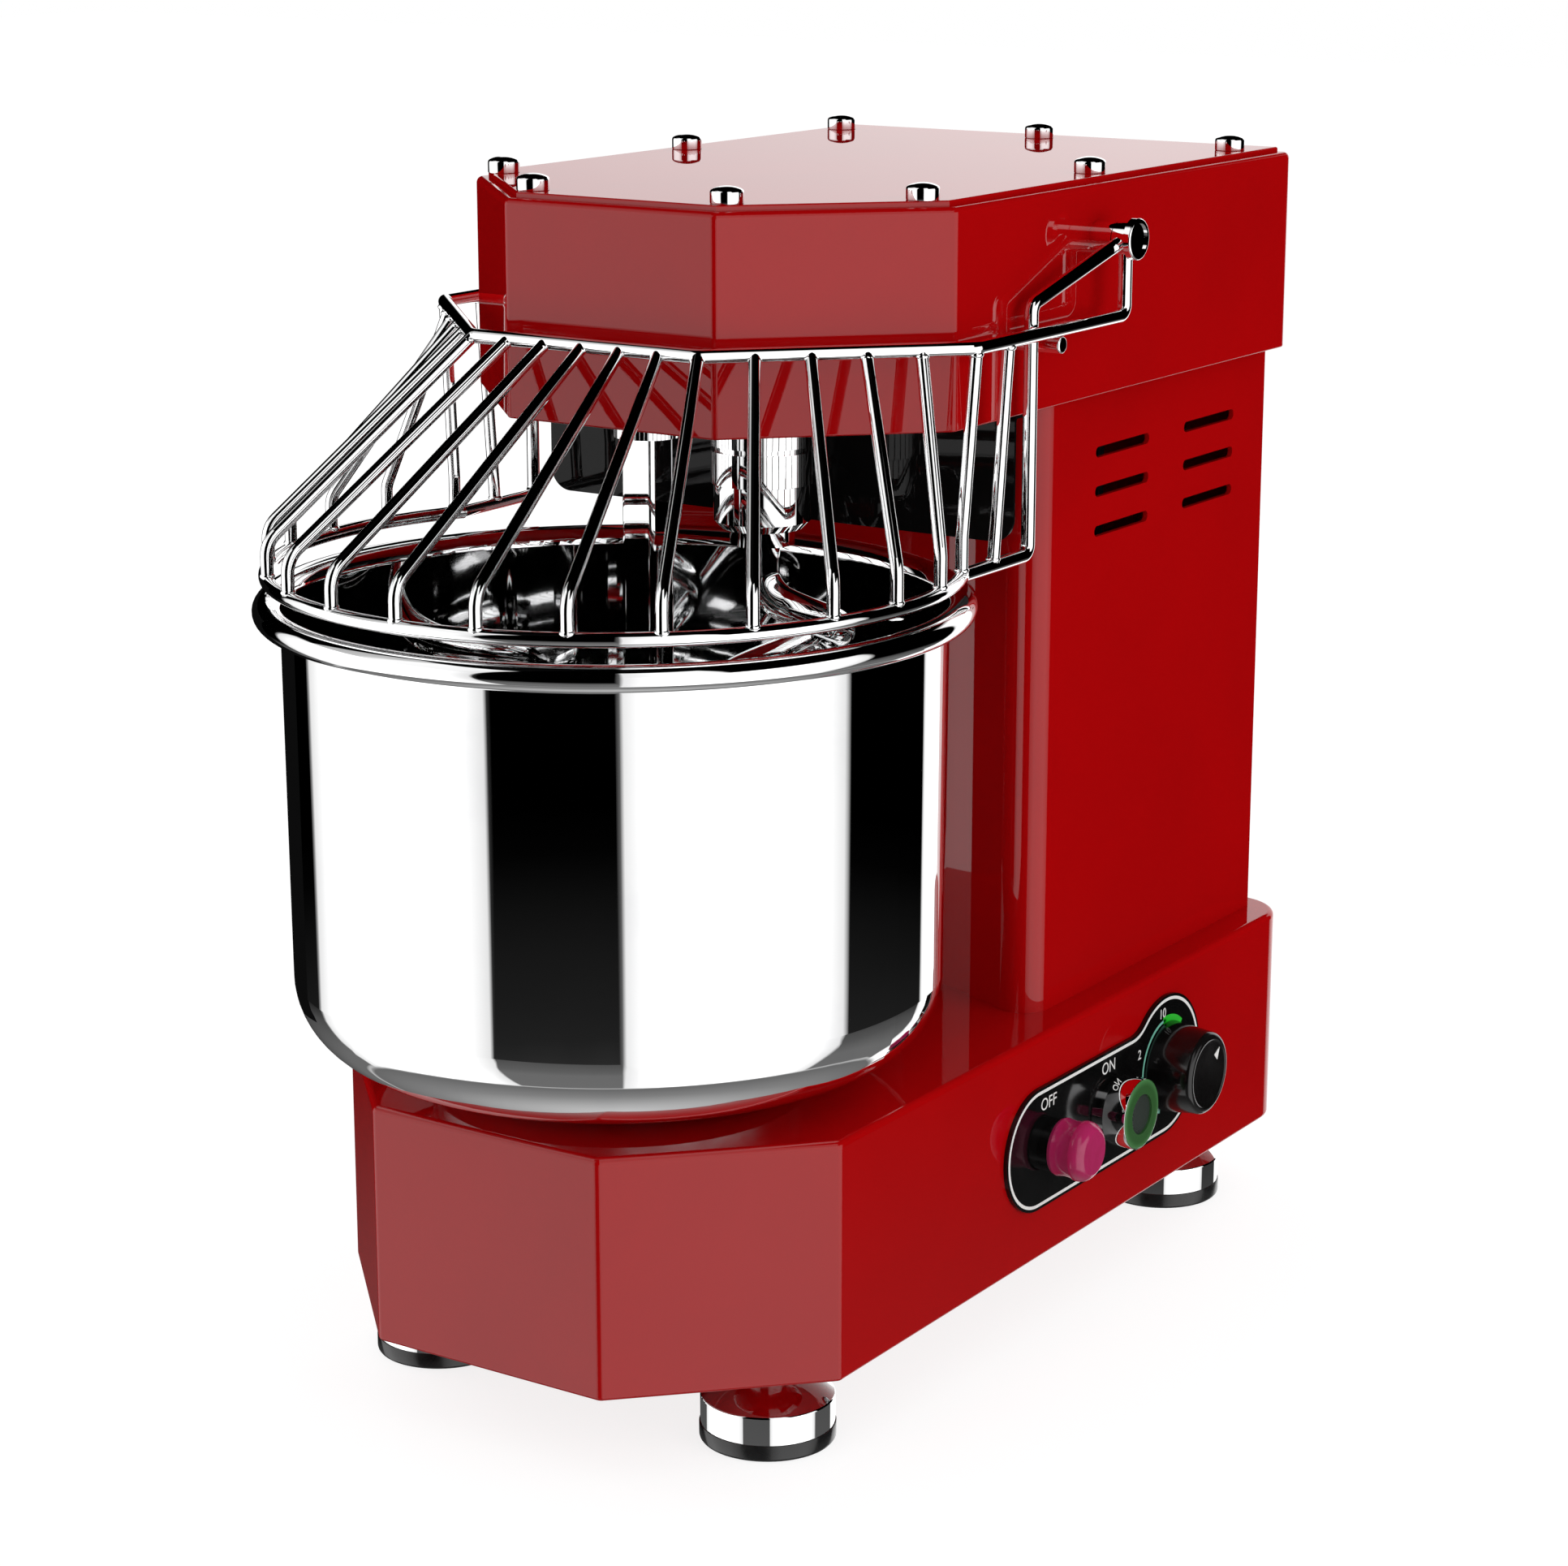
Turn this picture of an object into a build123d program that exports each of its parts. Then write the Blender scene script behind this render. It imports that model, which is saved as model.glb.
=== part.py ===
from build123d import *
import math
import os

# Bench-top spiral dough mixer, in millimetres.
# X points to the operator's right, Y to the back, Z up. Z = 0 is the table,
# X = 0 is the symmetry plane and the bowl stands at the front, on -Y.

os.makedirs("parts", exist_ok=True)

# Sheet metal: FOLD and TOP_FOLD are outside radii of folded edges, EDGE softens cut ones
SHEET = 2.0
FLANGE = 14.0
FOLD = 3.0
TOP_FOLD = 2.4
LOWER_FOLD = 1.6
EDGE = 0.8

# Fits: running on a shaft, seated in a bore, and clear of a moving piece
RUNNING = 0.05
SEATED = 0.02
REST_GAP = 0.3

# Base housing
BASE_BOTTOM = 31.5
BASE_TOP = 122.2
BASE_HALF = 111.2
BASE_NOSE_HALF = 49.8
BASE_FRONT = -186.0
BASE_SHOULDER = -124.3
BASE_REAR = 231.5
BASE_REAR_RADIUS = 22.0
FLOOR_THICK = 3.0
FLOOR_TOP = BASE_BOTTOM + FLOOR_THICK
FLOOR_GAP = 0.5
BOWL_PASSAGE = 24.0
LAY_PASSAGE = 12.0
WIRE_PASSAGE = 15.0
WIRE_PASSAGE_PLACE = (40.0, 150.0)

# Feet
FOOT_X = 75.4
FOOT_FRONT = -117.5
FOOT_REAR = 185.6
FOOT_RADIUS = 24.7
FOOT_PAD_RADIUS = 25.1
FOOT_PAD_TOP = 6.5
FOOT_PAD_CHAMFER = 1.0
FOOT_BAND_TOP = 17.0
FOOT_CROWN = (17.2, 21.2)
FOOT_NECK = 9.0
FOOT_NECK_Z = 23.5
FOOT_PLACES = [(x, y) for x in (-FOOT_X, FOOT_X) for y in (FOOT_FRONT, FOOT_REAR)]

# Bowl
BOWL_Y = -101.9
BOWL_RADIUS = 120.0
BOWL_FOOT_RADIUS = 119.3
BOWL_WALL = 1.5
BOWL_FLOOR = 134.0
BOWL_CORNER = 30.0
BOWL_RIM_RADIUS = 129.9
BOWL_BEAD = 4.8
BOWL_BEAD_Z = 298.8
BOWL_AXIS = Axis((0, BOWL_Y, 0), (0, 0, 1))

# Column
COLUMN_HALF = 97.0
COLUMN_REAR = 218.5
COLUMN_HOLLOW = 160.5
COLUMN_ROUND = 11.0
COLUMN_EDGE_Y = BOWL_Y + math.sqrt(COLUMN_HOLLOW**2 - COLUMN_HALF**2)
VENT_LENGTH = 43.0
VENT_HEIGHT = 4.2
VENT_ROWS = (306.0, 321.4, 336.7)
VENT_COLUMNS = (97.6, 169.7)

# Head housing
HEAD_BOTTOM = 361.5
HEAD_TOP = 440.3
HEAD_HALF = 105.8
HEAD_NOSE_HALF = 45.0
HEAD_FRONT = -104.9
HEAD_SHOULDER = -43.3
HEAD_REAR = 219.5
HEAD_REAR_RADIUS = 4.0
HEAD_FLOOR_TOP = HEAD_BOTTOM + SHEET
MOTOR_PASSAGE = 20.0
LAY_HEAD_PASSAGE = 10.0
COVER_INSET = 4.5
COVER_TOP = HEAD_TOP + SHEET

# Cap nuts that hold the head cover
STUD_RADIUS = 3.0
STUD_BELOW = 4.0
NUT_FLATS = 10.5
NUT_HEIGHT = 6.1
NUT_CROWN = 10.0
NUT_BORE = 4.0
STUD_SIDE_X = 92.0
STUD_SIDE_ROWS = (-44.0, 76.0, 191.0)
STUD_FRONT = (42.0, -92.0)
STUD_REAR = (0.0, 199.0)
STUD_PLACES = [(side * STUD_SIDE_X, y) for side in (-1, 1) for y in STUD_SIDE_ROWS]
STUD_PLACES += [(-STUD_FRONT[0], STUD_FRONT[1]), STUD_FRONT, STUD_REAR]
STUD_BOTTOM = HEAD_TOP - SHEET - STUD_BELOW
STUD_TOP = COVER_TOP + NUT_BORE

# Back cover of the column, its screws and the cable gland
COVER_HEIGHT = HEAD_BOTTOM - BASE_TOP - 2 * FLOOR_GAP
COVER_MIDDLE = (HEAD_BOTTOM + BASE_TOP) / 2
SCREW_HEAD = 3.6
SCREW_HEAD_HEIGHT = 2.2
SCREW_CROWN = 1.4
SCREW_SPREAD = 0.44 * COVER_HEIGHT
SCREW_X = COLUMN_HALF - SHEET - FLANGE / 2
SCREW_ROWS = [COVER_MIDDLE + step * SCREW_SPREAD for step in (-1, 0, 1)]
SCREW_PLACES = [(side * SCREW_X, z) for side in (-1, 1) for z in SCREW_ROWS]
GLAND_PLACE = (-50.0, 152.0)
GLAND_BORE = 6.0
GLAND_HEX = 10.0
GLAND_HEX_DEPTH = 5.0
GLAND_DOME = 8.0
GLAND_DOME_DEPTH = 6.0
GLAND_DOME_TAPER = 12.0
GLAND_INSIDE = 8.0
GLAND_HOLE = 3.6

# Shafts of the drive, all upright
HOOK_PLACE = (20.0, -37.5)
MOTOR_PLACE = (0.0, 148.0)
LAY_PLACE = (-66.0, 104.0)
BOWL_PLACE = (0.0, BOWL_Y)
HOOK_SHAFT = 9.0
MOTOR_SHAFT = 7.0
LAY_SHAFT = 8.0
BOWL_SHAFT = 10.0
SHAFT_SPARE = 4.0

# Belts and pulleys
BELT_WIDTH = 10.0
BELT_THICK = 3.0
BELT_GAP = 0.3
PULLEY_CHEEK = 2.0
PULLEY_WIDTH = BELT_WIDTH + 2 * PULLEY_CHEEK
CHEEK_LIP = 2.0
WEB_FROM = 25.0
WEB_HUB = 7.0
WEB_RIM = 4.0
WEB_DEPTH = 4.5
WEB_HOLES = 6
WEB_HOLE_SHARE = 0.28
LAY_BELT_Z = 371.5
HOOK_BELT_Z = 394.0
BOWL_BELT_Z = 70.0
MOTOR_SMALL = 12.0
MOTOR_LARGE = 30.0
LAY_LARGE = 32.0
LAY_SMALL = 12.0
HOOK_LARGE = 54.0
BOWL_LARGE = 72.0

# Bowl carrier and the bearing housing under it
CARRIER_GAP = 0.8
CARRIER_HUB = 22.0
CARRIER_PLATE = 70.0
CARRIER_THICK = 6.0
BEARING_WIDTH = 10.0
BEARING_SEAT = 1.0
BOWL_BEARING = 21.0
BOWL_HOUSING_WALL = 5.0
BOWL_HOUSING_FLANGE = 40.0
BOWL_HOUSING_FLANGE_THICK = 6.0

# Hook bearing housing and hub
HOOK_HUB_RADIUS = 18.0
HOOK_HUB_BOTTOM = 318.0
HUB_CHAMFER = 3.0
HOOK_NOSE_BOTTOM = 335.0
HOOK_NOSE_RADIUS = 19.0
NOSE_GROOVE_Z = 348.0
NOSE_GROOVE_HALF = 1.0
NOSE_GROOVE_DEPTH = 1.2
HOOK_BEARING = 16.0
HOOK_HOUSING_WALL = 6.0
HOOK_HOUSING_FLANGE = 38.0
HOOK_HOUSING_FLANGE_THICK = 5.0

# Spiral hook
HOOK_BAR = 6.5
HOOK_SWEEP = 35.0
HOOK_TIP_Z = 150.0
HOOK_TURNS = 1.25
HOOK_BEND = 14.0
HOOK_START = 20.0
HOOK_STEM = 16.0
HOOK_COLLAR = 12.0
HOOK_COLLAR_HEIGHT = 6.0
LEAD_STEPS = 2
SPIRAL_STEPS = 5

# Breaker bar
BREAKER_PLACE = (5.0, -89.0)
BREAKER_SIDE = 14.0
BREAKER_CORNER = 2.0
BREAKER_TIP_EDGE = 1.6
BREAKER_TIP_Z = 140.0
BREAKER_TENON = 5.0
BREAKER_FLANGE = 12.0
BREAKER_FLANGE_THICK = 4.0
BREAKER_NUT = 8.5
BREAKER_NUT_HEIGHT = 8.0

# Splash plate that hangs from the head behind the hook
SPLASH_SHEET = 1.2
SPLASH_Y = 0.0
SPLASH_HALF = 105.0
SPLASH_BOTTOM = 314.5
SPLASH_CORNER = 9.0
SPLASH_FLANGE = 16.0
SPLASH_BEND = 2.4
RIVET_RADIUS = 2.0
RIVET_HEAD = 3.6
RIVET_HEAD_HEIGHT = 1.6
RIVET_COLUMNS = (-90.0, -62.0, 62.0, 90.0)
RIVET_PLACES = [(x, SPLASH_Y + SPLASH_FLANGE / 2) for x in RIVET_COLUMNS]

# Gear motor
MOTOR_LOW = 190.0
MOTOR_CAP = 46.0
MOTOR_CAP_HEIGHT = 16.0
MOTOR_CORE = 49.0
MOTOR_BODY_HEIGHT = 124.0
MOTOR_GEARBOX = 46.0
MOTOR_FLANGE = 58.0
MOTOR_FLANGE_THICK = 6.0
MOTOR_BORE_DEPTH = 25.0
MOTOR_SHAFT_DEPTH = 24.0
MOTOR_FINS = 28
MOTOR_FIN_DEPTH = 5.0
MOTOR_FIN_WIDTH = 2.2
MOTOR_FIN_MARGIN = 6.0
MOTOR_BOLT_CIRCLE = 50.0
MOTOR_BOLT = 6.5
MOTOR_BOLT_HEIGHT = 5.0

# Layshaft bearings
LAY_FOOT_FLANGE = 24.0
LAY_FOOT_FLANGE_THICK = 4.0
LAY_FOOT = 15.0
LAY_FOOT_HEIGHT = 16.0
LAY_FOOT_FLOOR = 2.0
LAY_HEAD_BEARING = 17.0
LAY_HEAD_BEARING_WIDTH = 7.0

# Bowl guard
RAIL_WIRE = 2.6
BAR_WIRE = 2.3
RAIL_Z = 392.8
RAIL_X = 117.6
RAIL_NOSE_X = 48.7
RAIL_FRONT = -119.8
RAIL_SHOULDER = -49.2
RAIL_BACK = 58.1
WIRE_BEND = 4.0
RING_RADIUS = 124.5
RING_Z = 311.7
RING_END_Y = -48.4
RING_SPARE = 6.0
SIDE_X = RAIL_X - 2 * RAIL_WIRE - SEATED
SIDE_BACK = -2.0
SIDE_TOP = 402.5
SIDE_BAR_Y = -26.9
FAN_FRONT_GAPS = 6
FAN_CORNER_GAPS = 5
FAN_END_Y = RING_END_Y - BAR_WIRE - SEATED
FAN_KNEE = 14.0
FAN_BEND = 10.0

# Guard hinge, rest pegs, and the cam and switch inside the head
HINGE_Y = 57.5
HINGE_Z = 421.0
PIVOT_RADIUS = 4.0
PIVOT_COLLAR = 6.0
PIVOT_DISC = 7.75
PIVOT_DISH = 5.9
PIVOT_DISH_DEPTH = 0.7
PIVOT_INNER = 92.0
PIVOT_COLLAR_IN = 114.9
PIVOT_DISC_IN = 120.7
PIVOT_DISC_OUT = 123.7
HINGE_BUSH_OUT = 114.6
HINGE_BUSH_FLANGE = 9.5
HINGE_BUSH_FLANGE_THICK = 3.0
PEG_RADIUS = 3.2
PEG_Y = 13.0
PEG_OUT = 117.2
PEG_Z = RAIL_Z - RAIL_WIRE - REST_GAP - PEG_RADIUS
CAM_RADIUS = 9.0
CAM_FLAT = 6.0
CAM_THICK = 5.0
SWITCH_SIZE = (15.0, 14.0, 28.0)
SWITCH_Y = HINGE_Y + CAM_RADIUS + 14.0
SWITCH_Z = HINGE_Z - 7.0
SWITCH_WALL = HEAD_HALF - SHEET
SWITCH_PIN = 2.0
SWITCH_PIN_LENGTH = 4.0
SWITCH_PIN_X = PIVOT_INNER + 2.0
SWITCH_PIN_Y = SWITCH_Y - 9.0

# Control panel on the right of the base
PANEL_FACE = BASE_HALF + 1.5
PANEL_LEFT_Y = 13.9
PANEL_TOP = 102.0
DIAL_Y = 116.5
DIAL_Z = 82.5
DIAL_LOBE = 29.6
PANEL_BOTTOM = DIAL_Z - DIAL_LOBE
PANEL_SWEEP = 15.0
LOBE_RADIUS = (PANEL_TOP - PANEL_BOTTOM) / 2
LOBE_Z = (PANEL_TOP + PANEL_BOTTOM) / 2
STOP_Y = 23.0
START_Y = 72.5
BUTTON_Z = 77.0

# Switch blocks behind the buttons
BLOCK_RADIUS = 14.0
BLOCK_OUT = BASE_HALF - SHEET
STEM_IN = BLOCK_OUT - 4.0
BLOCK_STOP = STEM_IN - 4.0
BLOCK_IN = BLOCK_OUT - 28.0

# Stop button: places along X and radii of the mushroom cap
STOP_STEM = 8.5
STOP_COLLAR = 10.3
STOP_COLLAR_OUT = 117.2
STOP_SKIRT = 10.6
STOP_RIM = 11.0
STOP_SKIRT_IN = 121.4
STOP_CAP_IN = 117.0
STOP_CAP_OUT = 131.9
STOP_LIP = 11.4
STOP_LIP_X = 118.4
STOP_WAIST = 11.0
STOP_WAIST_X = 122.4
STOP_BULGE = 11.8
STOP_BULGE_X = 126.4
STOP_SHOULDER = (10.9, 129.9)
STOP_FACE = 8.4

# Start button
START_STEM = 9.0
START_BEZEL = 12.8
START_BEZEL_OUT = 120.4
START_CAP = 14.0
START_CAP_IN = 123.4
START_CAP_OUT = 125.8
START_RECESS = 8.1
START_RECESS_DEPTH = 2.9
START_SUNK = 0.9

# Speed knob and the control behind it
KNOB_BACK = 18.6
KNOB_TAPER = 5.8
KNOB_EDGE = 2.2
KNOB_IN = 113.1
KNOB_OUT = 132.7
SPINDLE = 3.0
SPINDLE_IN = BLOCK_OUT - 10.0
SPINDLE_OUT = KNOB_IN + 11.0
CONTROL_RADIUS = 12.0
CONTROL_IN = SPINDLE_IN - 9.0
CONTROL_STOP = SPINDLE_IN - 1.0

# Motor drive electronics
DRIVE_PLACE = (20.0, 172.0)
DRIVE_SIZE = (64.0, 74.0, 38.0)
DRIVE_CORNER = 4.0
DRIVE_FINS = 7
DRIVE_FIN_PITCH = 9.0
DRIVE_FIN_WIDTH = 2.5
DRIVE_FIN_HEIGHT = 8.0


def nose_outline(half, nose_half, front, shoulder, rear, rear_radius):
    """Plan outline with a three-facet nose, folded in front and rounded at the back."""
    with BuildSketch() as outline:
        with BuildLine():
            Polyline(
                (nose_half, front),
                (half, shoulder),
                (half, rear),
                (-half, rear),
                (-half, shoulder),
                (-nose_half, front),
                close=True,
            )
        make_face()
        fillet(outline.vertices().group_by(Axis.Y)[-1], rear_radius)
        fillet(outline.vertices().sort_by(Axis.Y)[:4], FOLD)
    return outline.sketch


def inset(outline, amount):
    """The same outline drawn inwards, with its corners kept sharp."""
    return offset(outline, amount=-amount, kind=Kind.INTERSECTION, mode=Mode.PRIVATE)


def upright_plane(place):
    """Plane through an upright shaft: local x is the radius, local y is Z."""
    return Plane(origin=(place[0], place[1], 0), x_dir=(1, 0, 0), z_dir=(0, -1, 0))


def turned(place, outline):
    """Solid of revolution about an upright shaft, from (radius, z) corners."""
    with BuildPart() as blank:
        with BuildSketch(upright_plane(place)):
            with BuildLine():
                Polyline(*outline, close=True)
            make_face()
        revolve(axis=Axis((place[0], place[1], 0), (0, 0, 1)))
    return blank.part


def ring(place, outer, inner, low, high):
    """Plain upright ring, such as a bearing or a bush."""
    return turned(place, [(inner, low), (outer, low), (outer, high), (inner, high)])


def bar(place, radius, low, high):
    """Plain upright round bar."""
    return turned(place, [(0, low), (radius, low), (radius, high), (0, high)])


def pulley(place, radius, low, bore):
    """Flat-belt pulley with a lip at each edge; a large one has a thin web with holes."""
    high = low + PULLEY_WIDTH
    lip = radius + CHEEK_LIP
    face_low = low + PULLEY_CHEEK - BELT_GAP
    face_high = high - PULLEY_CHEEK + BELT_GAP
    outline = [
        (bore, low),
        (lip, low),
        (lip, face_low),
        (radius, face_low),
        (radius, face_high),
        (lip, face_high),
        (lip, high),
        (bore, high),
    ]
    hub = bore + WEB_HUB
    rim = radius - WEB_RIM
    with BuildPart() as wheel:
        add(turned(place, outline))
        if radius > WEB_FROM:
            add(ring(place, rim, hub, low, low + WEB_DEPTH), mode=Mode.SUBTRACT)
            add(ring(place, rim, hub, high - WEB_DEPTH, high), mode=Mode.SUBTRACT)
            with BuildSketch(Plane.XY.offset(low)):
                with Locations(place):
                    with PolarLocations((hub + rim) / 2, WEB_HOLES):
                        Circle((rim - hub) * WEB_HOLE_SHARE)
            extrude(amount=PULLEY_WIDTH, mode=Mode.SUBTRACT)
    return wheel.part


def belt(first, first_radius, second, second_radius, low):
    """Flat belt round two pulleys."""
    with BuildPart() as loop:
        for reach, mode in ((BELT_GAP + BELT_THICK, Mode.ADD), (BELT_GAP, Mode.SUBTRACT)):
            with BuildSketch(Plane.XY.offset(low + PULLEY_CHEEK)) as run:
                with Locations(first):
                    Circle(first_radius + reach)
                with Locations(second):
                    Circle(second_radius + reach)
                make_hull(run.edges())
            extrude(amount=BELT_WIDTH, mode=mode)
    return loop.part


def wire(points, bend, radius):
    """Round wire bent through a row of points."""
    with BuildPart() as bent:
        with BuildLine() as path:
            FilletPolyline(*points, radius=bend)
        with BuildSketch(Plane(origin=path.line @ 0, z_dir=path.line % 0)):
            Circle(radius)
        sweep()
    return bent.part


def rod(y, z, radius, x_in, x_out):
    """Straight round rod along X, on the right side."""
    with BuildPart() as straight:
        with BuildSketch(Plane.YZ.offset(x_in)):
            with Locations((y, z)):
                Circle(radius)
        extrude(amount=x_out - x_in)
    return straight.part


def between(start, end, share):
    """Point on the straight line from start to end."""
    return tuple(a + (b - a) * share for a, b in zip(start, end))


base_outline = nose_outline(
    BASE_HALF, BASE_NOSE_HALF, BASE_FRONT, BASE_SHOULDER, BASE_REAR, BASE_REAR_RADIUS
)
head_outline = nose_outline(
    HEAD_HALF, HEAD_NOSE_HALF, HEAD_FRONT, HEAD_SHOULDER, HEAD_REAR, HEAD_REAR_RADIUS
)

# Base shell: folded sheet with a return flange at the bottom edge
with BuildPart() as base_shell:
    with BuildSketch(Plane.XY.offset(BASE_BOTTOM)):
        add(base_outline)
    extrude(amount=BASE_TOP - BASE_BOTTOM)
    fillet(base_shell.faces().sort_by(Axis.Z)[-1].edges(), TOP_FOLD)
    fillet(base_shell.faces().sort_by(Axis.Z)[0].edges(), LOWER_FOLD)
    with BuildSketch(Plane.XY.offset(FLOOR_TOP + SHEET)):
        add(inset(base_outline, SHEET))
    extrude(amount=BASE_TOP - SHEET - FLOOR_TOP - SHEET, mode=Mode.SUBTRACT)
    with BuildSketch(Plane.XY.offset(FLOOR_TOP)):
        add(inset(base_outline, SHEET + FLANGE))
    extrude(amount=SHEET, mode=Mode.SUBTRACT)
    with BuildSketch(Plane.XY.offset(BASE_BOTTOM)):
        add(inset(base_outline, SHEET))
    extrude(amount=FLOOR_THICK, mode=Mode.SUBTRACT)
    with BuildSketch(Plane.XY.offset(BASE_TOP - SHEET)):
        with Locations(BOWL_PLACE):
            Circle(BOWL_PASSAGE)
        with Locations(LAY_PLACE):
            Circle(LAY_PASSAGE)
        with Locations(WIRE_PASSAGE_PLACE):
            Circle(WIRE_PASSAGE)
    extrude(amount=SHEET, mode=Mode.SUBTRACT)
    with BuildSketch(Plane.YZ.offset(BASE_HALF - SHEET)):
        with Locations((STOP_Y, BUTTON_Z)):
            Circle(STOP_STEM + RUNNING)
        with Locations((START_Y, BUTTON_Z)):
            Circle(START_STEM + RUNNING)
        with Locations((DIAL_Y, DIAL_Z)):
            Circle(SPINDLE + RUNNING)
    extrude(amount=SHEET, mode=Mode.SUBTRACT)
base_shell.part.label = "base_shell"
export_step(base_shell.part, "parts/base_shell.step")

# Base floor: plate under the return flange, carrying the feet
with BuildPart() as base_floor:
    with BuildSketch(Plane.XY.offset(BASE_BOTTOM)):
        add(inset(base_outline, SHEET + FLOOR_GAP))
    extrude(amount=FLOOR_THICK)
base_floor.part.label = "base_floor"
export_step(base_floor.part, "parts/base_floor.step")

# Feet: a polished cup with a domed crown and a neck, on a rubber disc
with BuildPart() as foot_cup:
    with BuildSketch(Plane.XZ):
        with BuildLine():
            Polyline((0, BASE_BOTTOM), (0, FOOT_PAD_TOP), (FOOT_RADIUS, FOOT_PAD_TOP))
            Line((FOOT_RADIUS, FOOT_PAD_TOP), (FOOT_RADIUS, FOOT_BAND_TOP))
            ThreePointArc((FOOT_RADIUS, FOOT_BAND_TOP), FOOT_CROWN, (FOOT_NECK, FOOT_NECK_Z))
            Polyline((FOOT_NECK, FOOT_NECK_Z), (FOOT_NECK, BASE_BOTTOM), (0, BASE_BOTTOM))
        make_face()
    revolve(axis=Axis.Z)
    rim_edge = foot_cup.edges().filter_by(GeomType.CIRCLE).group_by(Axis.Z)[1]
    fillet(rim_edge, EDGE)

with BuildPart() as foot_cups:
    with Locations(*FOOT_PLACES):
        add(foot_cup.part)
foot_cups.part.label = "foot_cups"
export_step(foot_cups.part, "parts/foot_cups.step")

with BuildPart() as foot_pads:
    with Locations(*FOOT_PLACES):
        Cylinder(FOOT_PAD_RADIUS, FOOT_PAD_TOP, align=(Align.CENTER, Align.CENTER, Align.MIN))
    chamfer(foot_pads.edges().group_by(Axis.Z)[0], FOOT_PAD_CHAMFER)
foot_pads.part.label = "foot_pads"
export_step(foot_pads.part, "parts/foot_pads.step")

# Column: one sheet, hollowed in front round the bowl, with rounded front edges and an open back
with BuildSketch() as column_outline:
    with BuildLine():
        Polyline(
            (COLUMN_HALF, COLUMN_EDGE_Y),
            (COLUMN_HALF, COLUMN_REAR),
            (-COLUMN_HALF, COLUMN_REAR),
            (-COLUMN_HALF, COLUMN_EDGE_Y),
        )
        ThreePointArc(
            (-COLUMN_HALF, COLUMN_EDGE_Y),
            (0, BOWL_Y + COLUMN_HOLLOW),
            (COLUMN_HALF, COLUMN_EDGE_Y),
        )
    make_face()
    fillet(column_outline.vertices().group_by(Axis.Y)[0], COLUMN_ROUND)

with BuildPart() as column_shell:
    with BuildSketch(Plane.XY.offset(BASE_TOP)):
        add(column_outline.sketch)
        add(inset(column_outline.sketch, SHEET), mode=Mode.SUBTRACT)
    extrude(amount=HEAD_BOTTOM - BASE_TOP)
    with BuildSketch(Plane.XY.offset(BASE_TOP)):
        with Locations((0, COLUMN_REAR)):
            Rectangle(2 * (COLUMN_HALF - SHEET), 2 * SHEET)
    extrude(amount=HEAD_BOTTOM - BASE_TOP, mode=Mode.SUBTRACT)
    with BuildSketch(Plane.XY.offset(BASE_TOP)):
        for side in (-1, 1):
            with Locations((side * SCREW_X, COLUMN_REAR - 1.5 * SHEET)):
                Rectangle(FLANGE, SHEET)
    extrude(amount=HEAD_BOTTOM - BASE_TOP)
    with BuildSketch(Plane.YZ):
        with Locations(*[(y, z) for y in VENT_COLUMNS for z in VENT_ROWS]):
            SlotOverall(VENT_LENGTH, VENT_HEIGHT)
    extrude(amount=COLUMN_HALF, both=True, mode=Mode.SUBTRACT)
column_shell.part.label = "column_shell"
export_step(column_shell.part, "parts/column_shell.step")

# Back cover of the column and its screws
with BuildPart() as rear_cover:
    with BuildSketch(Plane.XZ.offset(SHEET - COLUMN_REAR)):
        with Locations((0, COVER_MIDDLE)):
            Rectangle(2 * (COLUMN_HALF - SHEET - FLOOR_GAP), COVER_HEIGHT)
        with Locations(GLAND_PLACE):
            Circle(GLAND_BORE + SEATED, mode=Mode.SUBTRACT)
    extrude(amount=-SHEET)
rear_cover.part.label = "rear_cover"
export_step(rear_cover.part, "parts/rear_cover.step")

with BuildPart() as rear_cover_screws:
    with BuildSketch(Plane.XZ.offset(-COLUMN_REAR)):
        with Locations(*SCREW_PLACES):
            Circle(SCREW_HEAD)
    extrude(amount=-SCREW_HEAD_HEIGHT)
    fillet(rear_cover_screws.edges().group_by(Axis.Y)[-1], SCREW_CROWN)
rear_cover_screws.part.label = "rear_cover_screws"
export_step(rear_cover_screws.part, "parts/rear_cover_screws.step")

# Cable gland for the mains lead, low on the back cover
with BuildPart() as cable_gland:
    with BuildSketch(Plane.XZ.offset(-COLUMN_REAR)):
        with Locations(GLAND_PLACE):
            RegularPolygon(GLAND_HEX, 6)
    extrude(amount=-GLAND_HEX_DEPTH)
    with BuildSketch(Plane.XZ.offset(-COLUMN_REAR - GLAND_HEX_DEPTH)):
        with Locations(GLAND_PLACE):
            Circle(GLAND_DOME)
    extrude(amount=-GLAND_DOME_DEPTH, taper=GLAND_DOME_TAPER)
    with BuildSketch(Plane.XZ.offset(GLAND_INSIDE - COLUMN_REAR)):
        with Locations(GLAND_PLACE):
            Circle(GLAND_BORE)
    extrude(amount=-GLAND_INSIDE)
    with BuildSketch(Plane.XZ.offset(GLAND_INSIDE - COLUMN_REAR)):
        with Locations(GLAND_PLACE):
            Circle(GLAND_HOLE)
    extrude(amount=-GLAND_INSIDE - GLAND_HEX_DEPTH - GLAND_DOME_DEPTH, mode=Mode.SUBTRACT)
cable_gland.part.label = "cable_gland"
export_step(cable_gland.part, "parts/cable_gland.step")

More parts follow.
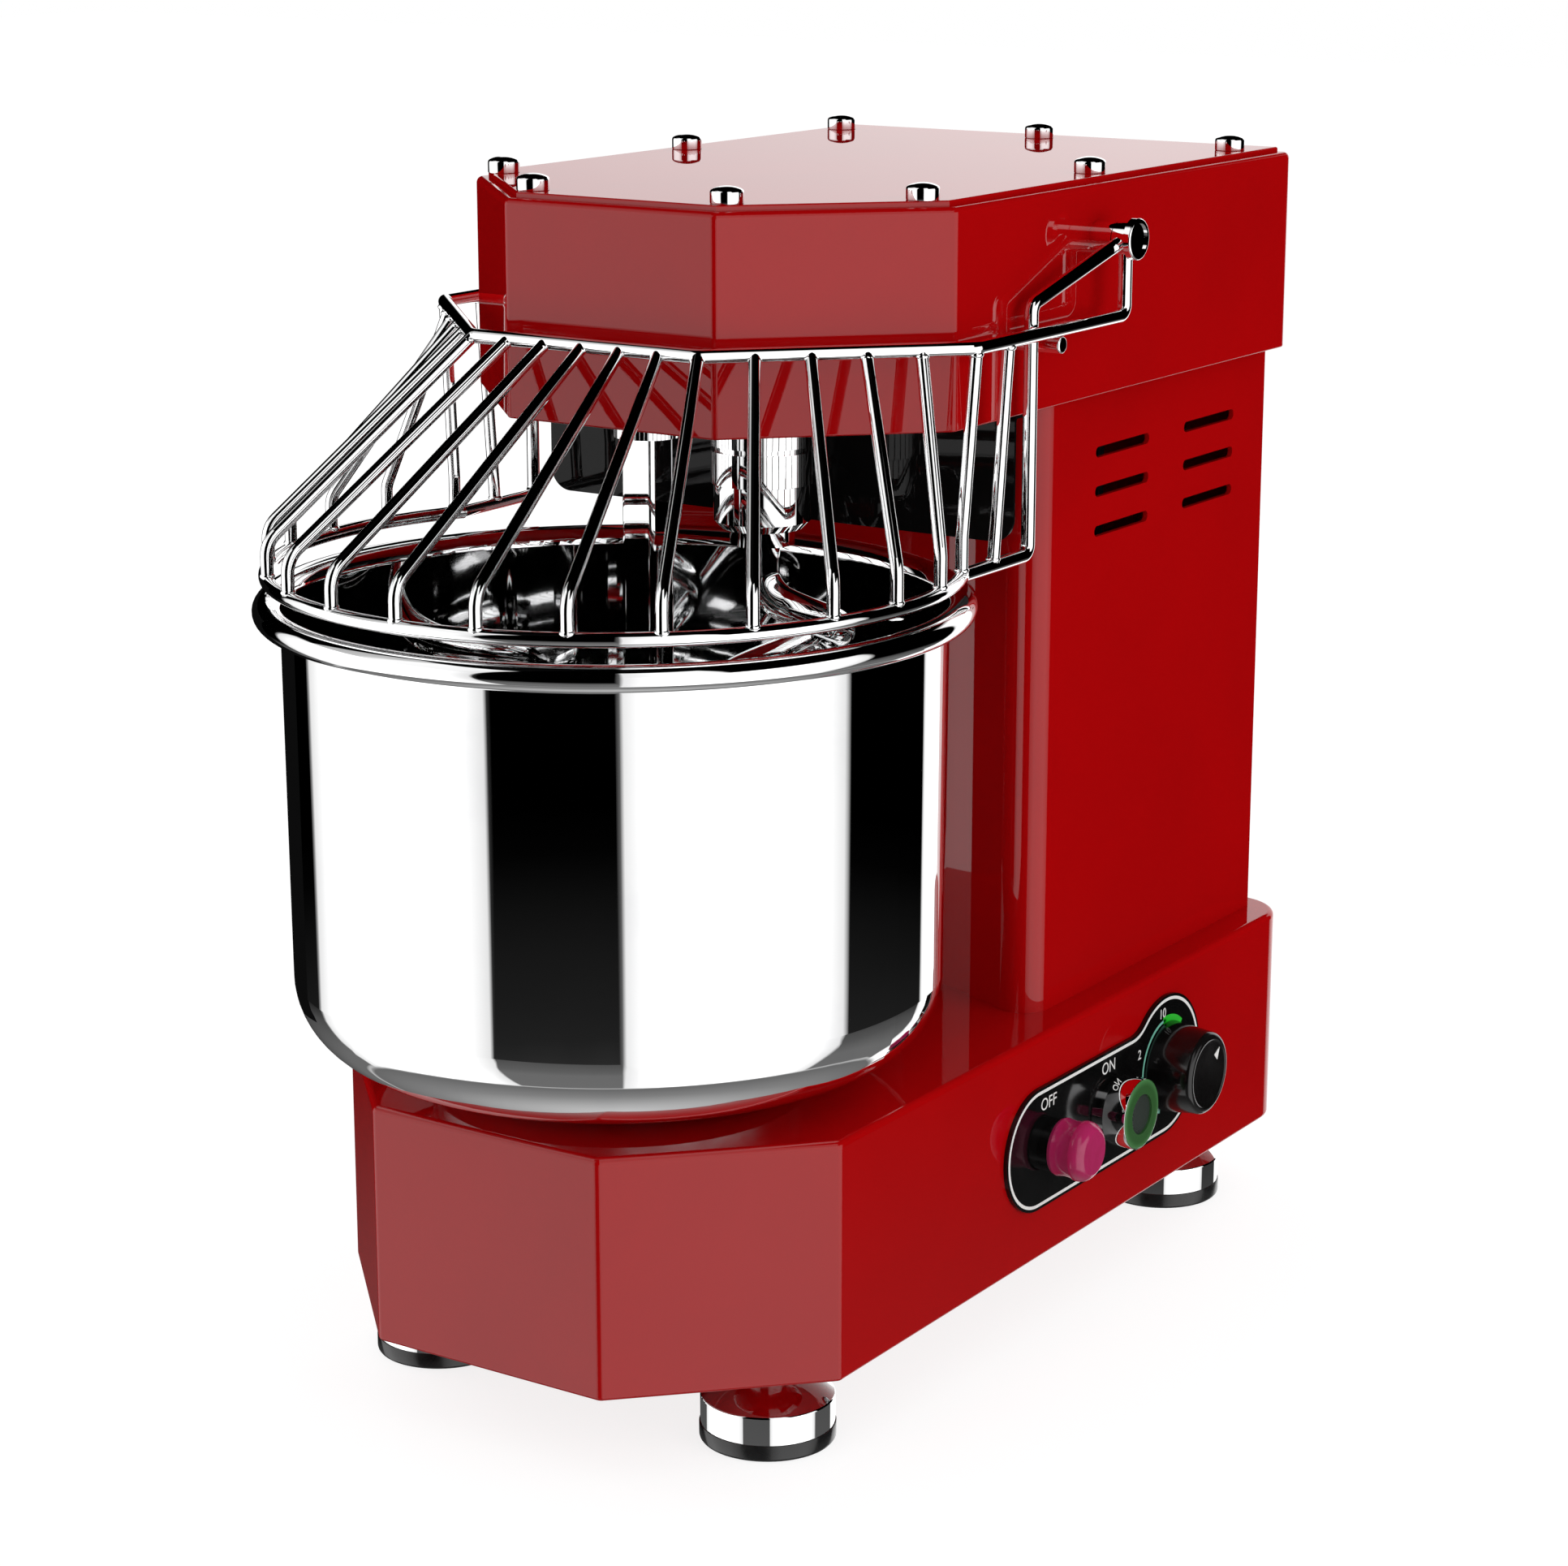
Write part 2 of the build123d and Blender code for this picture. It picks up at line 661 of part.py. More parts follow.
# Head casing: folded tray with a flanged top edge
with BuildPart() as head_casing:
    with BuildSketch(Plane.XY.offset(HEAD_BOTTOM)):
        add(head_outline)
    extrude(amount=HEAD_TOP - HEAD_BOTTOM)
    fillet(head_casing.faces().sort_by(Axis.Z)[-1].edges(), TOP_FOLD)
    fillet(head_casing.faces().sort_by(Axis.Z)[0].edges(), EDGE)
    with BuildSketch(Plane.XY.offset(HEAD_FLOOR_TOP)):
        add(inset(head_outline, SHEET))
    extrude(amount=HEAD_TOP - SHEET - HEAD_FLOOR_TOP, mode=Mode.SUBTRACT)
    with BuildSketch(Plane.XY.offset(HEAD_TOP - SHEET)):
        add(inset(head_outline, SHEET + FLANGE + STUD_RADIUS))
    extrude(amount=SHEET, mode=Mode.SUBTRACT)
    with BuildSketch(Plane.XY.offset(HEAD_TOP - SHEET)):
        with Locations(*STUD_PLACES):
            Circle(STUD_RADIUS + SEATED)
    extrude(amount=SHEET, mode=Mode.SUBTRACT)
    with BuildSketch(Plane.XY.offset(HEAD_BOTTOM)):
        with Locations(HOOK_PLACE):
            Circle(HOOK_NOSE_RADIUS + SEATED)
        with Locations(MOTOR_PLACE):
            Circle(MOTOR_PASSAGE)
        with Locations(LAY_PLACE):
            Circle(LAY_HEAD_PASSAGE)
        with Locations(BREAKER_PLACE):
            Circle(BREAKER_TENON + SEATED)
        with Locations(*RIVET_PLACES):
            Circle(RIVET_RADIUS + SEATED)
    extrude(amount=SHEET, mode=Mode.SUBTRACT)
    with BuildSketch(Plane.YZ):
        with Locations((HINGE_Y, HINGE_Z)):
            Circle(PIVOT_COLLAR + SEATED)
    extrude(amount=HEAD_HALF, both=True, mode=Mode.SUBTRACT)
head_casing.part.label = "head_casing"
export_step(head_casing.part, "parts/head_casing.step")

# Head cover, its studs and its nine cap nuts
with BuildPart() as head_cover:
    with BuildSketch(Plane.XY.offset(HEAD_TOP)):
        add(inset(head_outline, COVER_INSET))
    extrude(amount=SHEET)
    fillet(head_cover.faces().sort_by(Axis.Z)[-1].edges(), EDGE)
    with BuildSketch(Plane.XY.offset(HEAD_TOP)):
        with Locations(*STUD_PLACES):
            Circle(STUD_RADIUS + SEATED)
    extrude(amount=SHEET, mode=Mode.SUBTRACT)
head_cover.part.label = "head_cover"
export_step(head_cover.part, "parts/head_cover.step")

with BuildPart() as cover_studs:
    with BuildSketch(Plane.XY.offset(STUD_BOTTOM)):
        with Locations(*STUD_PLACES):
            Circle(STUD_RADIUS)
    extrude(amount=STUD_TOP - STUD_BOTTOM)
cover_studs.part.label = "cover_studs"
export_step(cover_studs.part, "parts/cover_studs.step")

with BuildPart() as cap_nut:
    with BuildSketch():
        RegularPolygon(NUT_FLATS / 2, 6, major_radius=False)
    extrude(amount=NUT_HEIGHT)
    with Locations((0, 0, NUT_HEIGHT - NUT_CROWN)):
        Sphere(NUT_CROWN, mode=Mode.INTERSECT)
    with BuildSketch():
        Circle(STUD_RADIUS + SEATED)
    extrude(amount=NUT_BORE + SEATED, mode=Mode.SUBTRACT)

with BuildPart() as cover_nuts:
    with Locations(*[(x, y, COVER_TOP) for x, y in STUD_PLACES]):
        add(cap_nut.part)
cover_nuts.part.label = "cover_nuts"
export_step(cover_nuts.part, "parts/cover_nuts.step")

# Bowl: spun sheet with a rolled rim
BEAD_RADIUS = BOWL_RIM_RADIUS - BOWL_BEAD
BEAD_TOP = BOWL_BEAD_Z + BOWL_BEAD
BEAD_LOW = BOWL_BEAD_Z - BOWL_BEAD
WALL_IN = BOWL_RADIUS - BOWL_WALL
LIP = BEAD_RADIUS - WALL_IN
CORNER_Z = BOWL_FLOOR + BOWL_CORNER
CORNER_R = BOWL_FOOT_RADIUS - BOWL_CORNER
CORNER_IN = BOWL_CORNER - BOWL_WALL
DIAGONAL = math.sqrt(0.5)
with BuildPart() as bowl:
    with BuildSketch(upright_plane(BOWL_PLACE)):
        with BuildLine():
            Line((0, BOWL_FLOOR), (CORNER_R, BOWL_FLOOR))
            ThreePointArc(
                (CORNER_R, BOWL_FLOOR),
                (CORNER_R + BOWL_CORNER * DIAGONAL, CORNER_Z - BOWL_CORNER * DIAGONAL),
                (BOWL_FOOT_RADIUS, CORNER_Z),
            )
            Line((BOWL_FOOT_RADIUS, CORNER_Z), (BOWL_RADIUS, BEAD_LOW))
            Line((BOWL_RADIUS, BEAD_LOW), (BEAD_RADIUS, BEAD_LOW))
            ThreePointArc(
                (BEAD_RADIUS, BEAD_LOW),
                (BOWL_RIM_RADIUS, BOWL_BEAD_Z),
                (BEAD_RADIUS, BEAD_TOP),
            )
            ThreePointArc(
                (BEAD_RADIUS, BEAD_TOP),
                (BEAD_RADIUS - LIP * DIAGONAL, BEAD_TOP - LIP + LIP * DIAGONAL),
                (WALL_IN, BEAD_TOP - LIP),
            )
            Line((WALL_IN, BEAD_TOP - LIP), (BOWL_FOOT_RADIUS - BOWL_WALL, CORNER_Z))
            ThreePointArc(
                (BOWL_FOOT_RADIUS - BOWL_WALL, CORNER_Z),
                (CORNER_R + CORNER_IN * DIAGONAL, CORNER_Z - CORNER_IN * DIAGONAL),
                (CORNER_R, BOWL_FLOOR + BOWL_WALL),
            )
            Line((CORNER_R, BOWL_FLOOR + BOWL_WALL), (0, BOWL_FLOOR + BOWL_WALL))
            Line((0, BOWL_FLOOR + BOWL_WALL), (0, BOWL_FLOOR))
        make_face()
    revolve(axis=BOWL_AXIS)
bowl.part.label = "bowl"
export_step(bowl.part, "parts/bowl.step")

# Bowl drive: carrier, shaft, bearings in their housing, and pulley
CARRIER_LOW = BASE_TOP + CARRIER_GAP
carrier_outline = [
    (BOWL_SHAFT + SEATED, CARRIER_LOW),
    (CARRIER_HUB, CARRIER_LOW),
    (CARRIER_HUB, BOWL_FLOOR - CARRIER_THICK),
    (CARRIER_PLATE, BOWL_FLOOR - CARRIER_THICK),
    (CARRIER_PLATE, BOWL_FLOOR),
    (BOWL_SHAFT + SEATED, BOWL_FLOOR),
]
bowl_carrier = turned(BOWL_PLACE, carrier_outline)
bowl_carrier.label = "bowl_carrier"
export_step(bowl_carrier, "parts/bowl_carrier.step")

bowl_shaft = bar(BOWL_PLACE, BOWL_SHAFT, BOWL_BELT_Z - 2 * SHAFT_SPARE, BOWL_FLOOR)
bowl_shaft.label = "bowl_shaft"
export_step(bowl_shaft, "parts/bowl_shaft.step")

bowl_pulley = pulley(BOWL_PLACE, BOWL_LARGE, BOWL_BELT_Z, BOWL_SHAFT + SEATED)
bowl_pulley.label = "bowl_pulley"
export_step(bowl_pulley, "parts/bowl_pulley.step")

HOUSING_TOP = BASE_TOP - SHEET
HOUSING_LOW = BOWL_BELT_Z + PULLEY_WIDTH + SHAFT_SPARE
housing_outline = [
    (BOWL_BEARING + SEATED, HOUSING_LOW),
    (BOWL_BEARING + BOWL_HOUSING_WALL, HOUSING_LOW),
    (BOWL_BEARING + BOWL_HOUSING_WALL, HOUSING_TOP - BOWL_HOUSING_FLANGE_THICK),
    (BOWL_HOUSING_FLANGE, HOUSING_TOP - BOWL_HOUSING_FLANGE_THICK),
    (BOWL_HOUSING_FLANGE, HOUSING_TOP),
    (BOWL_BEARING + SEATED, HOUSING_TOP),
]
bowl_bearing_housing = turned(BOWL_PLACE, housing_outline)
bowl_bearing_housing.label = "bowl_bearing_housing"
export_step(bowl_bearing_housing, "parts/bowl_bearing_housing.step")

BOWL_RACE = BOWL_SHAFT + RUNNING
with BuildPart() as bowl_bearings:
    for low in (HOUSING_LOW + BEARING_SEAT, HOUSING_TOP - 2 * BEARING_SEAT - BEARING_WIDTH):
        add(ring(BOWL_PLACE, BOWL_BEARING, BOWL_RACE, low, low + BEARING_WIDTH))
bowl_bearings.part.label = "bowl_bearings"
export_step(bowl_bearings.part, "parts/bowl_bearings.step")

# Hook drive: bearing housing with its polished nose, bearings, shaft, hub and pulley
HOOK_HOUSING_TOP = HOOK_BELT_Z - SHAFT_SPARE
hook_housing_outline = [
    (HOOK_BEARING + SEATED, HOOK_NOSE_BOTTOM),
    (HOOK_NOSE_RADIUS, HOOK_NOSE_BOTTOM),
    (HOOK_NOSE_RADIUS, NOSE_GROOVE_Z - NOSE_GROOVE_HALF),
    (HOOK_NOSE_RADIUS - NOSE_GROOVE_DEPTH, NOSE_GROOVE_Z - NOSE_GROOVE_HALF),
    (HOOK_NOSE_RADIUS - NOSE_GROOVE_DEPTH, NOSE_GROOVE_Z + NOSE_GROOVE_HALF),
    (HOOK_NOSE_RADIUS, NOSE_GROOVE_Z + NOSE_GROOVE_HALF),
    (HOOK_NOSE_RADIUS, HEAD_FLOOR_TOP),
    (HOOK_HOUSING_FLANGE, HEAD_FLOOR_TOP),
    (HOOK_HOUSING_FLANGE, HEAD_FLOOR_TOP + HOOK_HOUSING_FLANGE_THICK),
    (HOOK_BEARING + HOOK_HOUSING_WALL, HEAD_FLOOR_TOP + HOOK_HOUSING_FLANGE_THICK),
    (HOOK_BEARING + HOOK_HOUSING_WALL, HOOK_HOUSING_TOP),
    (HOOK_BEARING + SEATED, HOOK_HOUSING_TOP),
]
hook_bearing_housing = turned(HOOK_PLACE, hook_housing_outline)
hook_bearing_housing.label = "hook_bearing_housing"
export_step(hook_bearing_housing, "parts/hook_bearing_housing.step")

HOOK_RACE = HOOK_SHAFT + RUNNING
with BuildPart() as hook_bearings:
    for low in (HOOK_NOSE_BOTTOM + BEARING_SEAT, HOOK_HOUSING_TOP - BEARING_SEAT - BEARING_WIDTH):
        add(ring(HOOK_PLACE, HOOK_BEARING, HOOK_RACE, low, low + BEARING_WIDTH))
hook_bearings.part.label = "hook_bearings"
export_step(hook_bearings.part, "parts/hook_bearings.step")

hook_shaft = bar(HOOK_PLACE, HOOK_SHAFT, HOOK_HUB_BOTTOM, HOOK_BELT_Z + PULLEY_WIDTH + SHAFT_SPARE)
hook_shaft.label = "hook_shaft"
export_step(hook_shaft, "parts/hook_shaft.step")

hub_outline = [
    (HOOK_SHAFT + SEATED, HOOK_HUB_BOTTOM),
    (HOOK_HUB_RADIUS - HUB_CHAMFER, HOOK_HUB_BOTTOM),
    (HOOK_HUB_RADIUS, HOOK_HUB_BOTTOM + HUB_CHAMFER),
    (HOOK_HUB_RADIUS, HOOK_NOSE_BOTTOM - REST_GAP),
    (HOOK_SHAFT + SEATED, HOOK_NOSE_BOTTOM - REST_GAP),
]
hook_hub = turned(HOOK_PLACE, hub_outline)
hook_hub.label = "hook_hub"
export_step(hook_hub, "parts/hook_hub.step")

hook_pulley = pulley(HOOK_PLACE, HOOK_LARGE, HOOK_BELT_Z, HOOK_SHAFT + SEATED)
hook_pulley.label = "hook_pulley"
export_step(hook_pulley, "parts/hook_pulley.step")

# Spiral hook: a thick bar that leaves the hub, turns outwards and winds down
# at a steady slope. The turns are arcs that share their tangents.
HOOK_TOP_Z = HOOK_HUB_BOTTOM
SPIRAL_TOP_Z = HOOK_TOP_Z - HOOK_STEM
BAR_TOP_Z = HOOK_TOP_Z - HOOK_COLLAR_HEIGHT / 3


def outward_radius(slope):
    """Plan radius of the turn that leads from the stem out to the sweep."""
    reach = HOOK_BEND * (1 - math.sin(slope))
    return (HOOK_SWEEP**2 - reach**2) / (2 * HOOK_SWEEP)


def lead_turn(slope):
    """Plan angle of that turn, in radians."""
    reach = HOOK_BEND * (1 - math.sin(slope))
    return math.pi - math.atan2(reach, outward_radius(slope))


def spiral_drop(slope):
    """Height from the top of the stem's bend to the tip of the spiral."""
    travel = outward_radius(slope) * lead_turn(slope) + HOOK_SWEEP * 2 * math.pi * HOOK_TURNS
    return HOOK_BEND * math.cos(slope) + travel * math.tan(slope)


low_slope = 0.05
high_slope = 1.0
for _ in range(40):
    middle_slope = (low_slope + high_slope) / 2
    if spiral_drop(middle_slope) < SPIRAL_TOP_Z - HOOK_TIP_Z:
        low_slope = middle_slope
    else:
        high_slope = middle_slope
HOOK_SLOPE = low_slope


def arc_state(centre, radius, start, turned_by, z):
    """Place and heading on a level circle that is walked downhill."""
    angle = start + turned_by
    place = Vector(
        centre[0] + radius * math.cos(angle),
        centre[1] + radius * math.sin(angle),
        z - radius * turned_by * math.tan(HOOK_SLOPE),
    )
    heading = Vector(
        -math.sin(angle) * math.cos(HOOK_SLOPE),
        math.cos(angle) * math.cos(HOOK_SLOPE),
        -math.sin(HOOK_SLOPE),
    )
    return place, heading


def biarc(first, second):
    """Two arcs that join two places and match their headings."""
    (start, start_heading), (end, end_heading) = first, second
    chord = end - start
    both = start_heading + end_heading
    spread = 2 * (1 - start_heading.dot(end_heading))
    along = chord.dot(both)
    reach = (math.sqrt(along**2 + spread * chord.dot(chord)) - along) / spread
    knee = (start + end + (start_heading - end_heading) * reach) * 0.5
    knee_heading = (chord - both * reach).normalized()
    TangentArc(start, knee, tangent=start_heading)
    TangentArc(knee, end, tangent=knee_heading)


BEND_REACH = HOOK_BEND * (1 - math.sin(HOOK_SLOPE))
BEND_LOW_Z = SPIRAL_TOP_Z - HOOK_BEND * math.cos(HOOK_SLOPE)
LEAD_RADIUS = outward_radius(HOOK_SLOPE)
LEAD_CENTRE = (BEND_REACH, LEAD_RADIUS)
LEAD_STEP = lead_turn(HOOK_SLOPE) / LEAD_STEPS
stations = [
    arc_state(LEAD_CENTRE, LEAD_RADIUS, -math.pi / 2, LEAD_STEP * step, BEND_LOW_Z)
    for step in range(LEAD_STEPS + 1)
]
sweep_start = stations[-1][0]
SPIRAL_START = math.atan2(sweep_start.Y, sweep_start.X)
SPIRAL_STEP = 2 * math.pi * HOOK_TURNS / SPIRAL_STEPS
stations += [
    arc_state((0, 0), HOOK_SWEEP, SPIRAL_START, SPIRAL_STEP * step, sweep_start.Z)
    for step in range(1, SPIRAL_STEPS + 1)
]

with BuildPart() as hook_bar:
    with BuildLine() as hook_path:
        Line((0, 0, BAR_TOP_Z), (0, 0, SPIRAL_TOP_Z))
        TangentArc((0, 0, SPIRAL_TOP_Z), stations[0][0], tangent=(0, 0, -1))
        for first, second in zip(stations, stations[1:]):
            biarc(first, second)
    with BuildSketch(Plane(origin=(0, 0, BAR_TOP_Z), z_dir=(0, 0, -1))):
        Circle(HOOK_BAR)
    sweep()
    with Locations(Plane(origin=stations[-1][0], z_dir=stations[-1][1])):
        Sphere(HOOK_BAR, arc_size1=0, align=(Align.CENTER, Align.CENTER, Align.MIN))
    with Locations((0, 0, HOOK_TOP_Z)):
        Cylinder(HOOK_COLLAR, HOOK_COLLAR_HEIGHT, align=(Align.CENTER, Align.CENTER, Align.MAX))

with BuildPart() as spiral_hook:
    with Locations(Location((HOOK_PLACE[0], HOOK_PLACE[1], 0), (0, 0, HOOK_START))):
        add(hook_bar.part)
spiral_hook.part.label = "spiral_hook"
export_step(spiral_hook.part, "parts/spiral_hook.step")

# Breaker bar: square bar hung from the head in front of the hook
with BuildPart() as breaker_bar:
    with BuildSketch(Plane.XY.offset(BREAKER_TIP_Z)):
        with Locations(BREAKER_PLACE):
            RectangleRounded(BREAKER_SIDE, BREAKER_SIDE, BREAKER_CORNER)
    extrude(amount=HEAD_BOTTOM - BREAKER_TIP_Z)
    fillet(breaker_bar.edges().group_by(Axis.Z)[0], BREAKER_TIP_EDGE)
    with BuildSketch(Plane.XY.offset(HEAD_BOTTOM - BREAKER_FLANGE_THICK)):
        with Locations(BREAKER_PLACE):
            Circle(BREAKER_FLANGE)
    extrude(amount=BREAKER_FLANGE_THICK)
    with BuildSketch(Plane.XY.offset(HEAD_BOTTOM)):
        with Locations(BREAKER_PLACE):
            Circle(BREAKER_TENON)
    extrude(amount=SHEET + BREAKER_NUT_HEIGHT + EDGE)
breaker_bar.part.label = "breaker_bar"
export_step(breaker_bar.part, "parts/breaker_bar.step")

with BuildPart() as breaker_bar_nut:
    with BuildSketch(Plane.XY.offset(HEAD_FLOOR_TOP)):
        with Locations(BREAKER_PLACE):
            RegularPolygon(BREAKER_NUT, 6, major_radius=False)
            Circle(BREAKER_TENON + SEATED, mode=Mode.SUBTRACT)
    extrude(amount=BREAKER_NUT_HEIGHT)
breaker_bar_nut.part.label = "breaker_bar_nut"
export_step(breaker_bar_nut.part, "parts/breaker_bar_nut.step")

# Splash plate: polished sheet with a flange that is riveted under the head
SPLASH_BACK = SPLASH_Y + SPLASH_FLANGE
SPLASH_INNER = SPLASH_Y + SPLASH_SHEET
SPLASH_UNDER = HEAD_BOTTOM - SPLASH_SHEET
with BuildPart() as splash_plate:
    with BuildSketch(Plane.YZ):
        with BuildLine():
            FilletPolyline(
                (SPLASH_Y, SPLASH_BOTTOM),
                (SPLASH_Y, HEAD_BOTTOM),
                (SPLASH_BACK, HEAD_BOTTOM),
                radius=SPLASH_BEND,
            )
            Line((SPLASH_BACK, HEAD_BOTTOM), (SPLASH_BACK, SPLASH_UNDER))
            FilletPolyline(
                (SPLASH_BACK, SPLASH_UNDER),
                (SPLASH_INNER, SPLASH_UNDER),
                (SPLASH_INNER, SPLASH_BOTTOM),
                radius=SPLASH_BEND - SPLASH_SHEET,
            )
            Line((SPLASH_INNER, SPLASH_BOTTOM), (SPLASH_Y, SPLASH_BOTTOM))
        make_face()
    extrude(amount=SPLASH_HALF, both=True)
    lower_corners = splash_plate.edges().filter_by(Axis.Y).group_by(Axis.Z)[0]
    fillet(lower_corners, SPLASH_CORNER)
    with BuildSketch(Plane.XY.offset(HEAD_BOTTOM)):
        with Locations(*RIVET_PLACES):
            Circle(RIVET_RADIUS)
    extrude(amount=SHEET)
    with BuildSketch(Plane.XY.offset(HEAD_FLOOR_TOP)):
        with Locations(*RIVET_PLACES):
            Circle(RIVET_HEAD)
    extrude(amount=RIVET_HEAD_HEIGHT)
splash_plate.part.label = "splash_plate"
export_step(splash_plate.part, "parts/splash_plate.step")

# Gear motor: finned body, gearbox and flange, hung under the head floor in the column
MOTOR_BODY_LOW = MOTOR_LOW + MOTOR_CAP_HEIGHT
MOTOR_BODY_TOP = MOTOR_BODY_LOW + MOTOR_BODY_HEIGHT
MOTOR_FLANGE_LOW = HEAD_BOTTOM - MOTOR_FLANGE_THICK
motor_outline = [
    (0, MOTOR_LOW),
    (MOTOR_CAP, MOTOR_LOW),
    (MOTOR_CAP, MOTOR_BODY_LOW),
    (MOTOR_CORE, MOTOR_BODY_LOW),
    (MOTOR_CORE, MOTOR_BODY_TOP),
    (MOTOR_GEARBOX, MOTOR_BODY_TOP),
    (MOTOR_GEARBOX, MOTOR_FLANGE_LOW),
    (MOTOR_FLANGE, MOTOR_FLANGE_LOW),
    (MOTOR_FLANGE, HEAD_BOTTOM),
    (MOTOR_SHAFT + RUNNING, HEAD_BOTTOM),
    (MOTOR_SHAFT + RUNNING, HEAD_BOTTOM - MOTOR_BORE_DEPTH),
    (0, HEAD_BOTTOM - MOTOR_BORE_DEPTH),
]
with BuildPart() as gear_motor:
    add(turned(MOTOR_PLACE, motor_outline))
    with BuildSketch(Plane.XY.offset(MOTOR_BODY_LOW + MOTOR_FIN_MARGIN)):
        with Locations(MOTOR_PLACE):
            with PolarLocations(MOTOR_CORE, MOTOR_FINS):
                Rectangle(2 * MOTOR_FIN_DEPTH, MOTOR_FIN_WIDTH)
    extrude(amount=MOTOR_BODY_HEIGHT - 2 * MOTOR_FIN_MARGIN)
gear_motor.part.label = "gear_motor"
export_step(gear_motor.part, "parts/gear_motor.step")

with BuildPart() as motor_bolts:
    with BuildSketch(Plane.XY.offset(HEAD_FLOOR_TOP)):
        with Locations(MOTOR_PLACE):
            with PolarLocations(MOTOR_BOLT_CIRCLE, 4, start_angle=45):
                RegularPolygon(MOTOR_BOLT, 6, major_radius=False)
    extrude(amount=MOTOR_BOLT_HEIGHT)
motor_bolts.part.label = "motor_bolts"
export_step(motor_bolts.part, "parts/motor_bolts.step")

MOTOR_SHAFT_LOW = HEAD_BOTTOM - MOTOR_SHAFT_DEPTH
MOTOR_SHAFT_TOP = HOOK_BELT_Z + PULLEY_WIDTH + SHAFT_SPARE
motor_shaft = bar(MOTOR_PLACE, MOTOR_SHAFT, MOTOR_SHAFT_LOW, MOTOR_SHAFT_TOP)
motor_shaft.label = "motor_shaft"
export_step(motor_shaft, "parts/motor_shaft.step")

MOTOR_BORE = MOTOR_SHAFT + SEATED
with BuildPart() as motor_pulley:
    add(pulley(MOTOR_PLACE, MOTOR_SMALL, LAY_BELT_Z, MOTOR_BORE))
    add(ring(MOTOR_PLACE, MOTOR_SMALL, MOTOR_BORE, LAY_BELT_Z + PULLEY_WIDTH, HOOK_BELT_Z))
    add(pulley(MOTOR_PLACE, MOTOR_LARGE, HOOK_BELT_Z, MOTOR_BORE))
motor_pulley.part.label = "motor_pulley"
export_step(motor_pulley.part, "parts/motor_pulley.step")

# Layshaft from the head down to the base, with its bearings and pulleys
LAY_LOW = FLOOR_TOP + LAY_FOOT_FLOOR
LAY_TOP = LAY_BELT_Z + PULLEY_WIDTH + EDGE
LAY_BORE = LAY_SHAFT + RUNNING
layshaft = bar(LAY_PLACE, LAY_SHAFT, LAY_LOW, LAY_TOP)
layshaft.label = "layshaft"
export_step(layshaft, "parts/layshaft.step")

foot_bearing_outline = [
    (0, FLOOR_TOP),
    (LAY_FOOT_FLANGE, FLOOR_TOP),
    (LAY_FOOT_FLANGE, FLOOR_TOP + LAY_FOOT_FLANGE_THICK),
    (LAY_FOOT, FLOOR_TOP + LAY_FOOT_FLANGE_THICK),
    (LAY_FOOT, FLOOR_TOP + LAY_FOOT_HEIGHT),
    (LAY_BORE, FLOOR_TOP + LAY_FOOT_HEIGHT),
    (LAY_BORE, LAY_LOW - REST_GAP),
    (0, LAY_LOW - REST_GAP),
]
LAY_HEAD_TOP = HEAD_FLOOR_TOP + LAY_HEAD_BEARING_WIDTH
with BuildPart() as layshaft_bearings:
    add(turned(LAY_PLACE, foot_bearing_outline))
    add(ring(LAY_PLACE, LAY_HEAD_BEARING, LAY_BORE, HEAD_FLOOR_TOP, LAY_HEAD_TOP))
layshaft_bearings.part.label = "layshaft_bearings"
export_step(layshaft_bearings.part, "parts/layshaft_bearings.step")

layshaft_upper_pulley = pulley(LAY_PLACE, LAY_LARGE, LAY_BELT_Z, LAY_SHAFT + SEATED)
layshaft_upper_pulley.label = "layshaft_upper_pulley"
export_step(layshaft_upper_pulley, "parts/layshaft_upper_pulley.step")

layshaft_lower_pulley = pulley(LAY_PLACE, LAY_SMALL, BOWL_BELT_Z, LAY_SHAFT + SEATED)
layshaft_lower_pulley.label = "layshaft_lower_pulley"
export_step(layshaft_lower_pulley, "parts/layshaft_lower_pulley.step")

# Belts
hook_belt = belt(MOTOR_PLACE, MOTOR_LARGE, HOOK_PLACE, HOOK_LARGE, HOOK_BELT_Z)
hook_belt.label = "hook_belt"
export_step(hook_belt, "parts/hook_belt.step")

layshaft_belt = belt(MOTOR_PLACE, MOTOR_SMALL, LAY_PLACE, LAY_LARGE, LAY_BELT_Z)
layshaft_belt.label = "layshaft_belt"
export_step(layshaft_belt, "parts/layshaft_belt.step")

bowl_belt = belt(LAY_PLACE, LAY_SMALL, BOWL_PLACE, BOWL_LARGE, BOWL_BELT_Z)
bowl_belt.label = "bowl_belt"
export_step(bowl_belt, "parts/bowl_belt.step")

# Guard hinge: bushes and rest pegs on the head, pivots on the guard
BUSH_BORE = PIVOT_RADIUS + RUNNING
BUSH_IN = HEAD_HALF - SHEET - HINGE_BUSH_FLANGE_THICK
with BuildPart() as guard_hinge_bushes:
    add(rod(HINGE_Y, HINGE_Z, PIVOT_COLLAR, HEAD_HALF - SHEET, HINGE_BUSH_OUT))
    add(rod(HINGE_Y, HINGE_Z, HINGE_BUSH_FLANGE, BUSH_IN, HEAD_HALF - SHEET))
    add(rod(HINGE_Y, HINGE_Z, BUSH_BORE, BUSH_IN, HINGE_BUSH_OUT), mode=Mode.SUBTRACT)
    mirror(about=Plane.YZ)
guard_hinge_bushes.part.label = "guard_hinge_bushes"
export_step(guard_hinge_bushes.part, "parts/guard_hinge_bushes.step")

